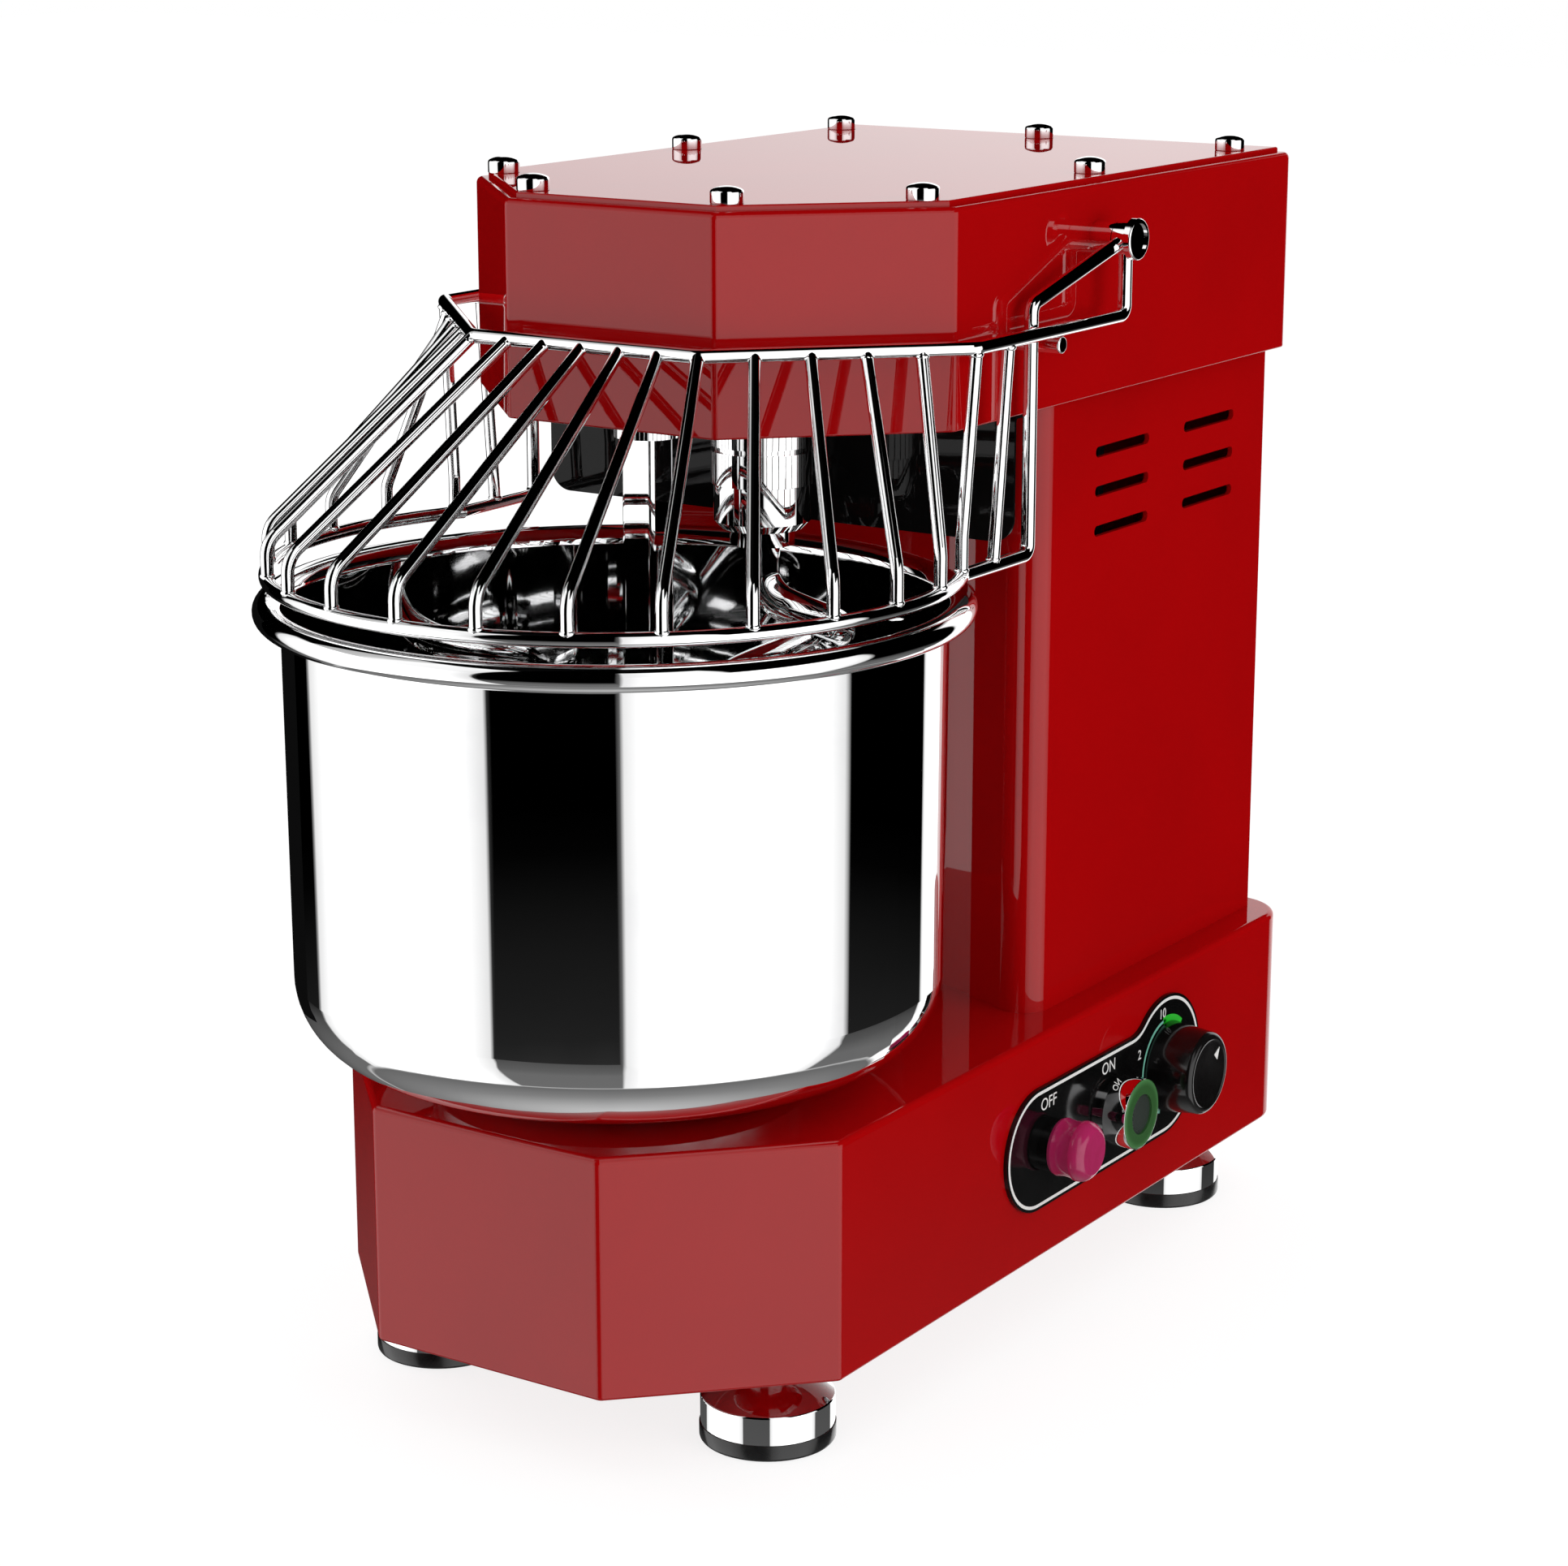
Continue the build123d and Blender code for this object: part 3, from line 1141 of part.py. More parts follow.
with BuildPart() as guard_rest_pegs:
    add(rod(PEG_Y, PEG_Z, PEG_RADIUS, HEAD_HALF, PEG_OUT))
    fillet(guard_rest_pegs.edges().group_by(Axis.X)[-1], EDGE)
    mirror(about=Plane.YZ)
guard_rest_pegs.part.label = "guard_rest_pegs"
export_step(guard_rest_pegs.part, "parts/guard_rest_pegs.step")

DISH_IN = PIVOT_DISC_OUT - PIVOT_DISH_DEPTH
with BuildPart() as guard_pivots:
    add(rod(HINGE_Y, HINGE_Z, PIVOT_RADIUS, PIVOT_INNER, PIVOT_COLLAR_IN))
    add(rod(HINGE_Y, HINGE_Z, PIVOT_COLLAR, PIVOT_COLLAR_IN, PIVOT_DISC_IN))
    add(rod(HINGE_Y, HINGE_Z, PIVOT_DISC, PIVOT_DISC_IN, PIVOT_DISC_OUT))
    fillet(guard_pivots.edges().group_by(Axis.X)[-1], EDGE)
    add(rod(HINGE_Y, HINGE_Z, PIVOT_DISH, DISH_IN, PIVOT_DISC_OUT), mode=Mode.SUBTRACT)
    mirror(about=Plane.YZ)
guard_pivots.part.label = "guard_pivots"
export_step(guard_pivots.part, "parts/guard_pivots.step")

# Guard switch in the head and the cam that works it
with BuildPart() as guard_cam:
    with BuildSketch(Plane.YZ.offset(PIVOT_INNER)):
        with Locations((HINGE_Y, HINGE_Z)):
            Circle(CAM_RADIUS)
            with Locations((CAM_FLAT + CAM_RADIUS, 0)):
                Rectangle(2 * CAM_RADIUS, 4 * CAM_RADIUS, mode=Mode.SUBTRACT)
            Circle(PIVOT_RADIUS + SEATED, mode=Mode.SUBTRACT)
    extrude(amount=CAM_THICK)
guard_cam.part.label = "guard_cam"
export_step(guard_cam.part, "parts/guard_cam.step")

with BuildPart() as guard_switch:
    with Locations((SWITCH_WALL, SWITCH_Y, SWITCH_Z)):
        Box(*SWITCH_SIZE, align=(Align.MAX, Align.CENTER, Align.CENTER))
    with Locations((SWITCH_PIN_X, SWITCH_PIN_Y, HINGE_Z)):
        Cylinder(SWITCH_PIN, SWITCH_PIN_LENGTH, rotation=(90, 0, 0))
guard_switch.part.label = "guard_switch"
export_step(guard_switch.part, "parts/guard_switch.step")

# Guard wires: the top rail, the ring over the bowl, the two side frames and the bars
rail_right = [
    (RAIL_X, RAIL_BACK, HINGE_Z),
    (RAIL_X, RAIL_BACK, RAIL_Z),
    (RAIL_X, RAIL_SHOULDER, RAIL_Z),
    (RAIL_NOSE_X, RAIL_FRONT, RAIL_Z),
]
rail_left = [(-x, y, z) for x, y, z in reversed(rail_right)]
with BuildPart() as guard_top_rail:
    add(wire(rail_right + rail_left, WIRE_BEND, RAIL_WIRE))
    add(guard_pivots.part, mode=Mode.SUBTRACT)
guard_top_rail.part.label = "guard_top_rail"
export_step(guard_top_rail.part, "parts/guard_top_rail.step")

RING_END = math.degrees(math.asin((RING_END_Y - BOWL_Y) / RING_RADIUS))
with BuildPart() as guard_ring:
    with BuildLine() as ring_path:
        CenterArc(
            (0, BOWL_Y, RING_Z),
            RING_RADIUS,
            180 - RING_END - RING_SPARE,
            180 + 2 * (RING_END + RING_SPARE),
        )
    with BuildSketch(Plane(origin=ring_path.line @ 0, z_dir=ring_path.line % 0)):
        Circle(RAIL_WIRE)
    sweep()
    split(bisect_by=Plane(origin=(0, RING_END_Y, 0), z_dir=(0, -1, 0)), keep=Keep.TOP)
guard_ring.part.label = "guard_ring"
export_step(guard_ring.part, "parts/guard_ring.step")

side_points = [
    (SIDE_X, RING_END_Y, RING_Z),
    (SIDE_X, SIDE_BACK, RING_Z),
    (SIDE_X, SIDE_BACK, SIDE_TOP),
    ((PIVOT_COLLAR_IN + PIVOT_DISC_IN) / 2, HINGE_Y, HINGE_Z),
]
with BuildPart() as guard_side_frames:
    add(wire(side_points, WIRE_BEND, RAIL_WIRE))
    mirror(about=Plane.YZ)
    add(guard_pivots.part, mode=Mode.SUBTRACT)
guard_side_frames.part.label = "guard_side_frames"
export_step(guard_side_frames.part, "parts/guard_side_frames.step")

rail_corners = [
    (RAIL_X, RAIL_SHOULDER, RAIL_Z),
    (RAIL_NOSE_X, RAIL_FRONT, RAIL_Z),
    (-RAIL_NOSE_X, RAIL_FRONT, RAIL_Z),
    (-RAIL_X, RAIL_SHOULDER, RAIL_Z),
]
fan_tops = []
for corner, gaps in enumerate((FAN_CORNER_GAPS, FAN_FRONT_GAPS, FAN_CORNER_GAPS)):
    start, end = rail_corners[corner], rail_corners[corner + 1]
    fan_tops += [between(start, end, gap / gaps) for gap in range(gaps)]
fan_tops.append(rail_corners[-1])
FAN_END = math.asin((FAN_END_Y - BOWL_Y) / RING_RADIUS)
FAN_SWEEP = math.pi + 2 * FAN_END


def fan_bar(number):
    """One bar from the top rail down and out to the ring, upright at its foot."""
    angle = FAN_END - FAN_SWEEP * number / (len(fan_tops) - 1)
    foot_x = RING_RADIUS * math.cos(angle)
    foot_y = BOWL_Y + RING_RADIUS * math.sin(angle)
    points = [fan_tops[number], (foot_x, foot_y, RING_Z + FAN_KNEE), (foot_x, foot_y, RING_Z)]
    return wire(points, FAN_BEND, BAR_WIRE)


with BuildPart() as guard_bars:
    for number in range(len(fan_tops)):
        add(fan_bar(number))
    add(guard_top_rail.part, mode=Mode.SUBTRACT)
    add(guard_ring.part, mode=Mode.SUBTRACT)
guard_bars.part.label = "guard_bars"
export_step(guard_bars.part, "parts/guard_bars.step")

side_bar_ends = (Vector(RAIL_X, SIDE_BAR_Y, RAIL_Z), Vector(SIDE_X, SIDE_BAR_Y, RING_Z))
with BuildPart() as guard_side_bars:
    with BuildLine() as side_bar_path:
        Line(*side_bar_ends)
    with BuildSketch(Plane(origin=side_bar_ends[0], z_dir=side_bar_ends[1] - side_bar_ends[0])):
        Circle(BAR_WIRE)
    sweep()
    mirror(about=Plane.YZ)
    add(guard_top_rail.part, mode=Mode.SUBTRACT)
    add(guard_side_frames.part, mode=Mode.SUBTRACT)
guard_side_bars.part.label = "guard_side_bars"
export_step(guard_side_bars.part, "parts/guard_side_bars.step")

# Control panel: a two-lobed plate on the right wall of the base
with BuildPart() as control_panel:
    with BuildSketch(Plane.YZ.offset(BASE_HALF)) as panel_face:
        with Locations(((PANEL_LEFT_Y + DIAL_Y) / 2, LOBE_Z)):
            Rectangle(DIAL_Y - PANEL_LEFT_Y, PANEL_TOP - PANEL_BOTTOM)
        with Locations((PANEL_LEFT_Y, LOBE_Z)):
            Circle(LOBE_RADIUS)
        with Locations((DIAL_Y, DIAL_Z)):
            Circle(DIAL_LOBE)
        hollow_y = DIAL_Y - math.sqrt(DIAL_LOBE**2 - (PANEL_TOP - DIAL_Z) ** 2)
        hollow = Vector(BASE_HALF, hollow_y, PANEL_TOP)
        fillet(panel_face.vertices().sort_by_distance(hollow)[0], PANEL_SWEEP)
        with Locations((STOP_Y, BUTTON_Z)):
            Circle(STOP_STEM + RUNNING, mode=Mode.SUBTRACT)
        with Locations((START_Y, BUTTON_Z)):
            Circle(START_STEM + RUNNING, mode=Mode.SUBTRACT)
        with Locations((DIAL_Y, DIAL_Z)):
            Circle(SPINDLE + RUNNING, mode=Mode.SUBTRACT)
    extrude(amount=PANEL_FACE - BASE_HALF)
control_panel.part.label = "control_panel"
export_step(control_panel.part, "parts/control_panel.step")

# Stop button: fixed collar, black stem, and a mushroom cap whose skirt slides over the collar
with BuildPart() as stop_collar:
    add(rod(STOP_Y, BUTTON_Z, STOP_COLLAR, PANEL_FACE, STOP_COLLAR_OUT))
    fillet(stop_collar.edges().group_by(Axis.X)[-1], EDGE)
    add(
        rod(STOP_Y, BUTTON_Z, STOP_STEM + RUNNING, PANEL_FACE, STOP_COLLAR_OUT),
        mode=Mode.SUBTRACT,
    )
stop_collar.part.label = "stop_collar"
export_step(stop_collar.part, "parts/stop_collar.step")

stop_stem = rod(STOP_Y, BUTTON_Z, STOP_STEM, STEM_IN, STOP_SKIRT_IN)
stop_stem.label = "stop_stem"
export_step(stop_stem, "parts/stop_stem.step")

# The cap's profile is drawn with the radius along local x and X along local y
stop_plane = Plane(origin=(0, STOP_Y, BUTTON_Z), x_dir=(0, 1, 0), z_dir=(0, 0, -1))
lip_curve = STOP_LIP - (STOP_LIP - STOP_RIM) * DIAGONAL / 2
with BuildPart() as stop_cap:
    with BuildSketch(stop_plane):
        with BuildLine():
            Line((0, STOP_CAP_IN), (STOP_RIM, STOP_CAP_IN))
            ThreePointArc(
                (STOP_RIM, STOP_CAP_IN),
                (lip_curve, (STOP_CAP_IN + STOP_LIP_X) / 2),
                (STOP_LIP, STOP_LIP_X),
            )
            ThreePointArc((STOP_LIP, STOP_LIP_X), (STOP_WAIST, STOP_WAIST_X), (STOP_BULGE, STOP_BULGE_X))
            ThreePointArc((STOP_BULGE, STOP_BULGE_X), STOP_SHOULDER, (STOP_FACE, STOP_CAP_OUT))
            Polyline((STOP_FACE, STOP_CAP_OUT), (0, STOP_CAP_OUT), (0, STOP_CAP_IN))
        make_face()
    revolve(axis=Axis((0, STOP_Y, BUTTON_Z), (1, 0, 0)))
    add(rod(STOP_Y, BUTTON_Z, STOP_SKIRT, STOP_CAP_IN, STOP_SKIRT_IN), mode=Mode.SUBTRACT)
stop_cap.part.label = "stop_cap"
export_step(stop_cap.part, "parts/stop_cap.step")

# Start button: bright bezel, green disc with a sunk grey centre, and the switch blocks of both
with BuildPart() as start_bezel:
    add(rod(START_Y, BUTTON_Z, START_BEZEL, PANEL_FACE, START_BEZEL_OUT))
    fillet(start_bezel.edges().group_by(Axis.X)[-1], EDGE)
    add(
        rod(START_Y, BUTTON_Z, START_STEM + RUNNING, PANEL_FACE, START_BEZEL_OUT),
        mode=Mode.SUBTRACT,
    )
start_bezel.part.label = "start_bezel"
export_step(start_bezel.part, "parts/start_bezel.step")

RECESS_IN = START_CAP_OUT - START_RECESS_DEPTH
with BuildPart() as start_button:
    add(rod(START_Y, BUTTON_Z, START_STEM, STEM_IN, START_CAP_IN))
    add(rod(START_Y, BUTTON_Z, START_CAP, START_CAP_IN, START_CAP_OUT))
    fillet(start_button.edges().group_by(Axis.X)[-1], EDGE)
    add(rod(START_Y, BUTTON_Z, START_RECESS, RECESS_IN, START_CAP_OUT), mode=Mode.SUBTRACT)
start_button.part.label = "start_button"
export_step(start_button.part, "parts/start_button.step")

start_insert = rod(
    START_Y, BUTTON_Z, START_RECESS - SEATED, RECESS_IN, START_CAP_OUT - START_SUNK
)
start_insert.label = "start_insert"
export_step(start_insert, "parts/start_insert.step")

with BuildPart() as button_switches:
    for button_y, stem in ((STOP_Y, STOP_STEM), (START_Y, START_STEM)):
        add(rod(button_y, BUTTON_Z, BLOCK_RADIUS, BLOCK_IN, BLOCK_OUT))
        add(rod(button_y, BUTTON_Z, stem + RUNNING, BLOCK_STOP, BLOCK_OUT), mode=Mode.SUBTRACT)
button_switches.part.label = "button_switches"
export_step(button_switches.part, "parts/button_switches.step")

# Speed knob on its spindle, and the control it turns
with BuildPart() as speed_knob:
    with BuildSketch(Plane.YZ.offset(KNOB_IN)):
        with Locations((DIAL_Y, DIAL_Z)):
            Circle(KNOB_BACK)
    extrude(amount=KNOB_OUT - KNOB_IN, taper=KNOB_TAPER)
    fillet(speed_knob.edges().group_by(Axis.X)[-1], KNOB_EDGE)
    add(rod(DIAL_Y, DIAL_Z, SPINDLE + SEATED, KNOB_IN, SPINDLE_OUT), mode=Mode.SUBTRACT)
speed_knob.part.label = "speed_knob"
export_step(speed_knob.part, "parts/speed_knob.step")

knob_spindle = rod(DIAL_Y, DIAL_Z, SPINDLE, SPINDLE_IN, SPINDLE_OUT)
knob_spindle.label = "knob_spindle"
export_step(knob_spindle, "parts/knob_spindle.step")

with BuildPart() as speed_control:
    add(rod(DIAL_Y, DIAL_Z, CONTROL_RADIUS, CONTROL_IN, BLOCK_OUT))
    add(rod(DIAL_Y, DIAL_Z, SPINDLE + RUNNING, CONTROL_STOP, BLOCK_OUT), mode=Mode.SUBTRACT)
speed_control.part.label = "speed_control"
export_step(speed_control.part, "parts/speed_control.step")

# Motor drive electronics under their heat sink, on the base floor
with BuildPart() as motor_drive:
    with Locations((*DRIVE_PLACE, FLOOR_TOP)):
        Box(*DRIVE_SIZE, align=(Align.CENTER, Align.CENTER, Align.MIN))
    fillet(motor_drive.edges().filter_by(Axis.Z), DRIVE_CORNER)
    with BuildSketch(Plane.XY.offset(FLOOR_TOP + DRIVE_SIZE[2])):
        with Locations(DRIVE_PLACE):
            with GridLocations(DRIVE_FIN_PITCH, 0, DRIVE_FINS, 1):
                Rectangle(DRIVE_FIN_WIDTH, DRIVE_SIZE[1] - 2 * DRIVE_CORNER)
    extrude(amount=DRIVE_FIN_HEIGHT)
motor_drive.part.label = "motor_drive"
export_step(motor_drive.part, "parts/motor_drive.step")
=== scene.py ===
"""Looks of a bench-top spiral dough mixer.

Finishes for the CAD nodes, the pieces too fine for the CAD, and the studio round the machine.
"""

import logging
import math
from dataclasses import dataclass
from enum import Enum
from typing import Callable, Iterable, Protocol

import bmesh
import bpy
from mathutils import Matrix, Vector


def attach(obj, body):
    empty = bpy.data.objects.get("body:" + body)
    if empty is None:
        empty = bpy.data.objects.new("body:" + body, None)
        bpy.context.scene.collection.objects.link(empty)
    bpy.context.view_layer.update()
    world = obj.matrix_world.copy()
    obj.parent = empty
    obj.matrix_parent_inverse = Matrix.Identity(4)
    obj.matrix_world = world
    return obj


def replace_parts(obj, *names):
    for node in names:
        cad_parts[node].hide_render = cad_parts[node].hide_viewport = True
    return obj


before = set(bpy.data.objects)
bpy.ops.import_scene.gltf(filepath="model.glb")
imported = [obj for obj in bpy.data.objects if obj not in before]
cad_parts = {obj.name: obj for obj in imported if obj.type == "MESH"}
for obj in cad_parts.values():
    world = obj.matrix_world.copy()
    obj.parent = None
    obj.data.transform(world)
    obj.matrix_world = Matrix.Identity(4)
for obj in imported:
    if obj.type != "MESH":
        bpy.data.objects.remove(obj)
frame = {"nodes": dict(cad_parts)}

LOG = logging.getLogger("dough_mixer")
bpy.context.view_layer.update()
MM = 0.001

Colour = tuple[float, float, float]
Pair = tuple[float, float]
Pairs = tuple[Pair, ...]
Triple = tuple[float, float, float]
Material = bpy.types.Material
Node = bpy.types.Node
Piece = bpy.types.Object
Socket = bpy.types.NodeSocket
Tree = bpy.types.NodeTree

WHITE: Colour = (1.0, 1.0, 1.0)


class Effect(Enum):
    """Surface effects that several finishes share, each a node group."""

    RIPPLE = "surface_ripple"
    CLOUD = "soft_cloud"
    HAIRLINES = "polish_hairlines"
    GRAIN = "moulded_grain"


class Graph:
    """Adds and joins nodes in one shader tree."""

    # Where a mix node of colours has its share, its two colours and its result.
    MIX_INPUTS = (0, 6, 7)
    MIX_RESULT = 2

    def __init__(self, tree: Tree) -> None:
        """Keeps the tree that the nodes go into."""
        self.tree = tree

    def add(self, kind: str, **settings: object) -> Node:
        """Adds one node.

        Args:
            kind: Blender's name of the node type.
            settings: Properties to set on the node.

        Returns:
            The new node.
        """
        node = self.tree.nodes.new(kind)
        for name, value in settings.items():
            setattr(node, name, value)
        return node

    def fill(self, sockets: Iterable[Socket], values: Iterable[object]) -> None:
        """Fills inputs in order, each by a plain value or by a joined socket.

        Args:
            sockets: The inputs.
            values: What goes in: sockets, numbers, vectors, or colours of three numbers.
        """
        for socket, value in zip(sockets, values):
            if isinstance(value, Socket):
                self.tree.links.new(value, socket)
            else:
                socket.default_value = (*value, 1.0) if socket.type == "RGBA" else value

    def feed(self, node: Node, **values: object) -> None:
        """Fills inputs of a node by their names, which have _ for each space."""
        self.fill([node.inputs[name.replace("_", " ")] for name in values], values.values())

    def maths(self, operation: str, first: object, second: object = 0.0) -> Socket:
        """Adds one sum.

        Args:
            operation: Blender's name of the operation.
            first: A number or a socket.
            second: A number or a socket.

        Returns:
            The result's socket.
        """
        node = self.add("ShaderNodeMath", operation=operation)
        self.fill(node.inputs, (first, second))
        return node.outputs[0]

    def blend(self, share: object, first: object, second: object, way: str = "MIX") -> Socket:
        """Mixes two colours.

        Args:
            share: How much of the second colour, a number or a socket.
            first: A colour of three numbers, or a socket.
            second: A colour of three numbers, or a socket.
            way: Blender's name of the way to mix.

        Returns:
            The mixed colour's socket.
        """
        node = self.add("ShaderNodeMix", data_type="RGBA", blend_type=way)
        self.fill([node.inputs[number] for number in self.MIX_INPUTS], (share, first, second))
        return node.outputs[self.MIX_RESULT]

    def mix_shaders(self, share: Socket, first: Node, second: Node) -> Node:
        """Mixes two shaders.

        Args:
            share: How much of the second shader.
            first: A shader.
            second: A shader.

        Returns:
            The mixing node.
        """
        node = self.add("ShaderNodeMixShader")
        self.fill(node.inputs, (share, first.outputs[0], second.outputs[0]))
        return node

    def span(self, value: Socket, low: float, high: float) -> Socket:
        """Spreads a mask of 0 to 1 over a range of numbers.

        Args:
            value: The mask.
            low: The result where the mask is 0.
            high: The result where the mask is 1.

        Returns:
            The result's socket.
        """
        node = self.add("ShaderNodeMapRange")
        self.feed(node, Value=value, To_Min=low, To_Max=high)
        return node.outputs[0]


class EffectShelf:
    """Builds each shared effect once and hands it out."""

    RIPPLE_RATIO = 4.7

    def __init__(self) -> None:
        """Starts with no effect made."""
        self.made: dict[Effect, Tree] = {}

    def place(self, graph: Graph, effect: Effect, **values: float) -> Socket:
        """Places an effect in a material, and makes its node group on first use.

        Args:
            graph: The material's graph.
            effect: Which effect.
            values: The effect's own input values.

        Returns:
            The effect's result.
        """
        if effect not in self.made:
            makers = {
                Effect.RIPPLE: self.make_ripple,
                Effect.CLOUD: self.make_cloud,
                Effect.HAIRLINES: self.make_hairlines,
                Effect.GRAIN: self.make_grain,
            }
            self.made[effect] = makers[effect]()
        node = graph.add("ShaderNodeGroup", node_tree=self.made[effect])
        graph.feed(node, **values)
        return node.outputs[0]

    def open_group(self, effect: Effect, output: str, **inputs: float) -> tuple[Graph, Node, Node, Socket]:
        """Starts a node group that reads the object's own coordinates.

        Args:
            effect: Which effect the group holds.
            output: Name of its one result.
            inputs: Names and defaults of its number inputs.

        Returns:
            The graph, the input node, the output node and the coordinate socket.
        """
        tree = bpy.data.node_groups.new(effect.value, "ShaderNodeTree")
        for name, default in inputs.items():
            socket = tree.interface.new_socket(name, in_out="INPUT", socket_type="NodeSocketFloat")
            socket.default_value = default
        tree.interface.new_socket(output, in_out="OUTPUT", socket_type="NodeSocketFloat")
        graph = Graph(tree)
        place = graph.add("ShaderNodeTexCoord").outputs["Object"]
        return graph, graph.add("NodeGroupInput"), graph.add("NodeGroupOutput"), place

    def make_ripple(self) -> Tree:
        """Slow and fine unevenness of a sprayed or rolled surface.

        Returns:
            The node group.
        """
        graph, given, result, place = self.open_group(Effect.RIPPLE, "Height", Scale=300.0, Fine=0.3)
        scale = given.outputs["Scale"]
        slow = graph.add("ShaderNodeTexNoise")
        graph.feed(slow, Vector=place, Scale=scale, Detail=1.0, Roughness=0.4)
        fine = graph.add("ShaderNodeTexNoise")
        fine_scale = graph.maths("MULTIPLY", scale, self.RIPPLE_RATIO)
        graph.feed(fine, Vector=place, Scale=fine_scale, Detail=0.0)
        part = graph.maths("MULTIPLY", fine.outputs["Fac"], given.outputs["Fine"])
        graph.feed(result, Height=graph.maths("ADD", slow.outputs["Fac"], part))
        return graph.tree

    def make_cloud(self) -> Tree:
        """Soft large patches, as handling and wiping leave on a clean machine.

        Returns:
            The node group.
        """
        graph, given, result, place = self.open_group(Effect.CLOUD, "Mask", Scale=20.0, Low=0.35, High=0.7)
        noise = graph.add("ShaderNodeTexNoise")
        graph.feed(
            noise, Vector=place, Scale=given.outputs["Scale"], Detail=4.0, Roughness=0.55, Distortion=0.6
        )
        limits = graph.add("ShaderNodeMapRange", interpolation_type="SMOOTHSTEP")
        low, high = given.outputs["Low"], given.outputs["High"]
        graph.feed(limits, Value=noise.outputs["Fac"], From_Min=low, From_Max=high)
        graph.feed(result, Mask=limits.outputs[0])
        return graph.tree

    def make_hairlines(self) -> Tree:
        """Fine level lines that polishing leaves round a turned piece.

        Returns:
            The node group.
        """
        graph, given, result, place = self.open_group(Effect.HAIRLINES, "Height", Across=4.0, Along=900.0)
        across = given.outputs["Across"]
        stretch = graph.add("ShaderNodeCombineXYZ")
        graph.feed(stretch, X=across, Y=across, Z=given.outputs["Along"])
        drawn = graph.add("ShaderNodeVectorMath", operation="MULTIPLY")
        graph.fill(drawn.inputs, (place, stretch.outputs[0]))
        noise = graph.add("ShaderNodeTexNoise")
        graph.feed(noise, Vector=drawn.outputs[0], Scale=1.0, Detail=3.0, Roughness=0.6)
        graph.feed(result, Height=noise.outputs["Fac"])
        return graph.tree

    def make_grain(self) -> Tree:
        """Small even pits of a moulded surface.

        Returns:
            The node group.
        """
        graph, given, result, place = self.open_group(Effect.GRAIN, "Height", Scale=2500.0)
        cells = graph.add("ShaderNodeTexVoronoi", feature="SMOOTH_F1")
        graph.feed(cells, Vector=place, Scale=given.outputs["Scale"], Smoothness=0.6)
        graph.feed(result, Height=cells.outputs["Distance"])
        return graph.tree


EFFECTS = EffectShelf()


def open_material(name: str) -> tuple[Material, Graph, Node]:
    """Makes a node material that holds only its output.

    Args:
        name: The material's name.

    Returns:
        The material, its graph and its output node.
    """
    material = bpy.data.materials.new(name)
    material.use_nodes = True
    graph = Graph(material.node_tree)
    graph.tree.nodes.clear()
    return material, graph, graph.add("ShaderNodeOutputMaterial")


def add_patches(
    graph: Graph, shader: Node, colours: tuple[Colour, Colour], rough: Pair, **cloud: float
) -> None:
    """Lets soft patches change colour and roughness, from the first of each pair to the second."""
    mask = EFFECTS.place(graph, Effect.CLOUD, **cloud)
    graph.feed(shader, Base_Color=graph.blend(mask, *colours), Roughness=graph.span(mask, *rough))


def add_bump(graph: Graph, shader: Node, depth: float, effect: Effect, **values: float) -> None:
    """Lets an effect tilt the surface.

    Args:
        graph: The material's graph.
        shader: Its Principled shader.
        depth: How deep the effect is, in metres.
        effect: Which effect gives the height.
        values: The effect's own input values.
    """
    bump = graph.add("ShaderNodeBump")
    graph.feed(bump, Height=EFFECTS.place(graph, effect, **values), Strength=1.0, Distance=depth)
    graph.feed(shader, Normal=bump.outputs["Normal"])


class Finish(Protocol):
    """What every finish can do."""

    def dress(self, graph: Graph, shader: Node) -> None:
        """Gives a material's Principled shader its colour, sheen and surface."""


@dataclass(frozen=True)
class EnamelFinish:
    """Sprayed and baked gloss paint on sheet metal."""

    colour: Colour
    shade: Colour
    gloss: float = 0.06
    coat: float = 0.8
    coat_gloss: float = 0.02
    dulling: float = 1.8
    peel: float = 260.0
    peel_depth: float = 0.000003

    def dress(self, graph: Graph, shader: Node) -> None:
        """Lays a deep colour under a clear coat, with a slight orange peel.

        Args:
            graph: The material's graph.
            shader: Its Principled shader.
        """
        patches = EFFECTS.place(graph, Effect.CLOUD, Scale=9.0)
        wiped = EFFECTS.place(graph, Effect.CLOUD, Scale=34.0, Low=0.45, High=0.8)
        graph.feed(
            shader,
            Base_Color=graph.blend(patches, self.colour, self.shade),
            Roughness=graph.span(wiped, self.gloss, self.gloss * self.dulling),
            Specular_IOR_Level=0.0,
            Coat_Weight=self.coat,
            Coat_Roughness=self.coat_gloss,
        )
        add_bump(graph, shader, self.peel_depth, Effect.RIPPLE, Scale=self.peel, Fine=0.15)


@dataclass(frozen=True)
class PolishedFinish:
    """Mirror-polished stainless steel."""

    colour: Colour = (0.97, 0.97, 0.972)
    shade: Colour = (0.92, 0.922, 0.93)
    rough: Pair = (0.015, 0.035)
    line_depth: float = 0.0000002

    def dress(self, graph: Graph, shader: Node) -> None:
        """Makes bright metal with faint polishing lines and wiped patches.

        Args:
            graph: The material's graph.
            shader: Its Principled shader.
        """
        colours = (self.colour, self.shade)
        add_patches(graph, shader, colours, self.rough, Scale=26.0, Low=0.42, High=0.78)
        graph.feed(shader, Metallic=1.0)
        add_bump(graph, shader, self.line_depth, Effect.HAIRLINES)


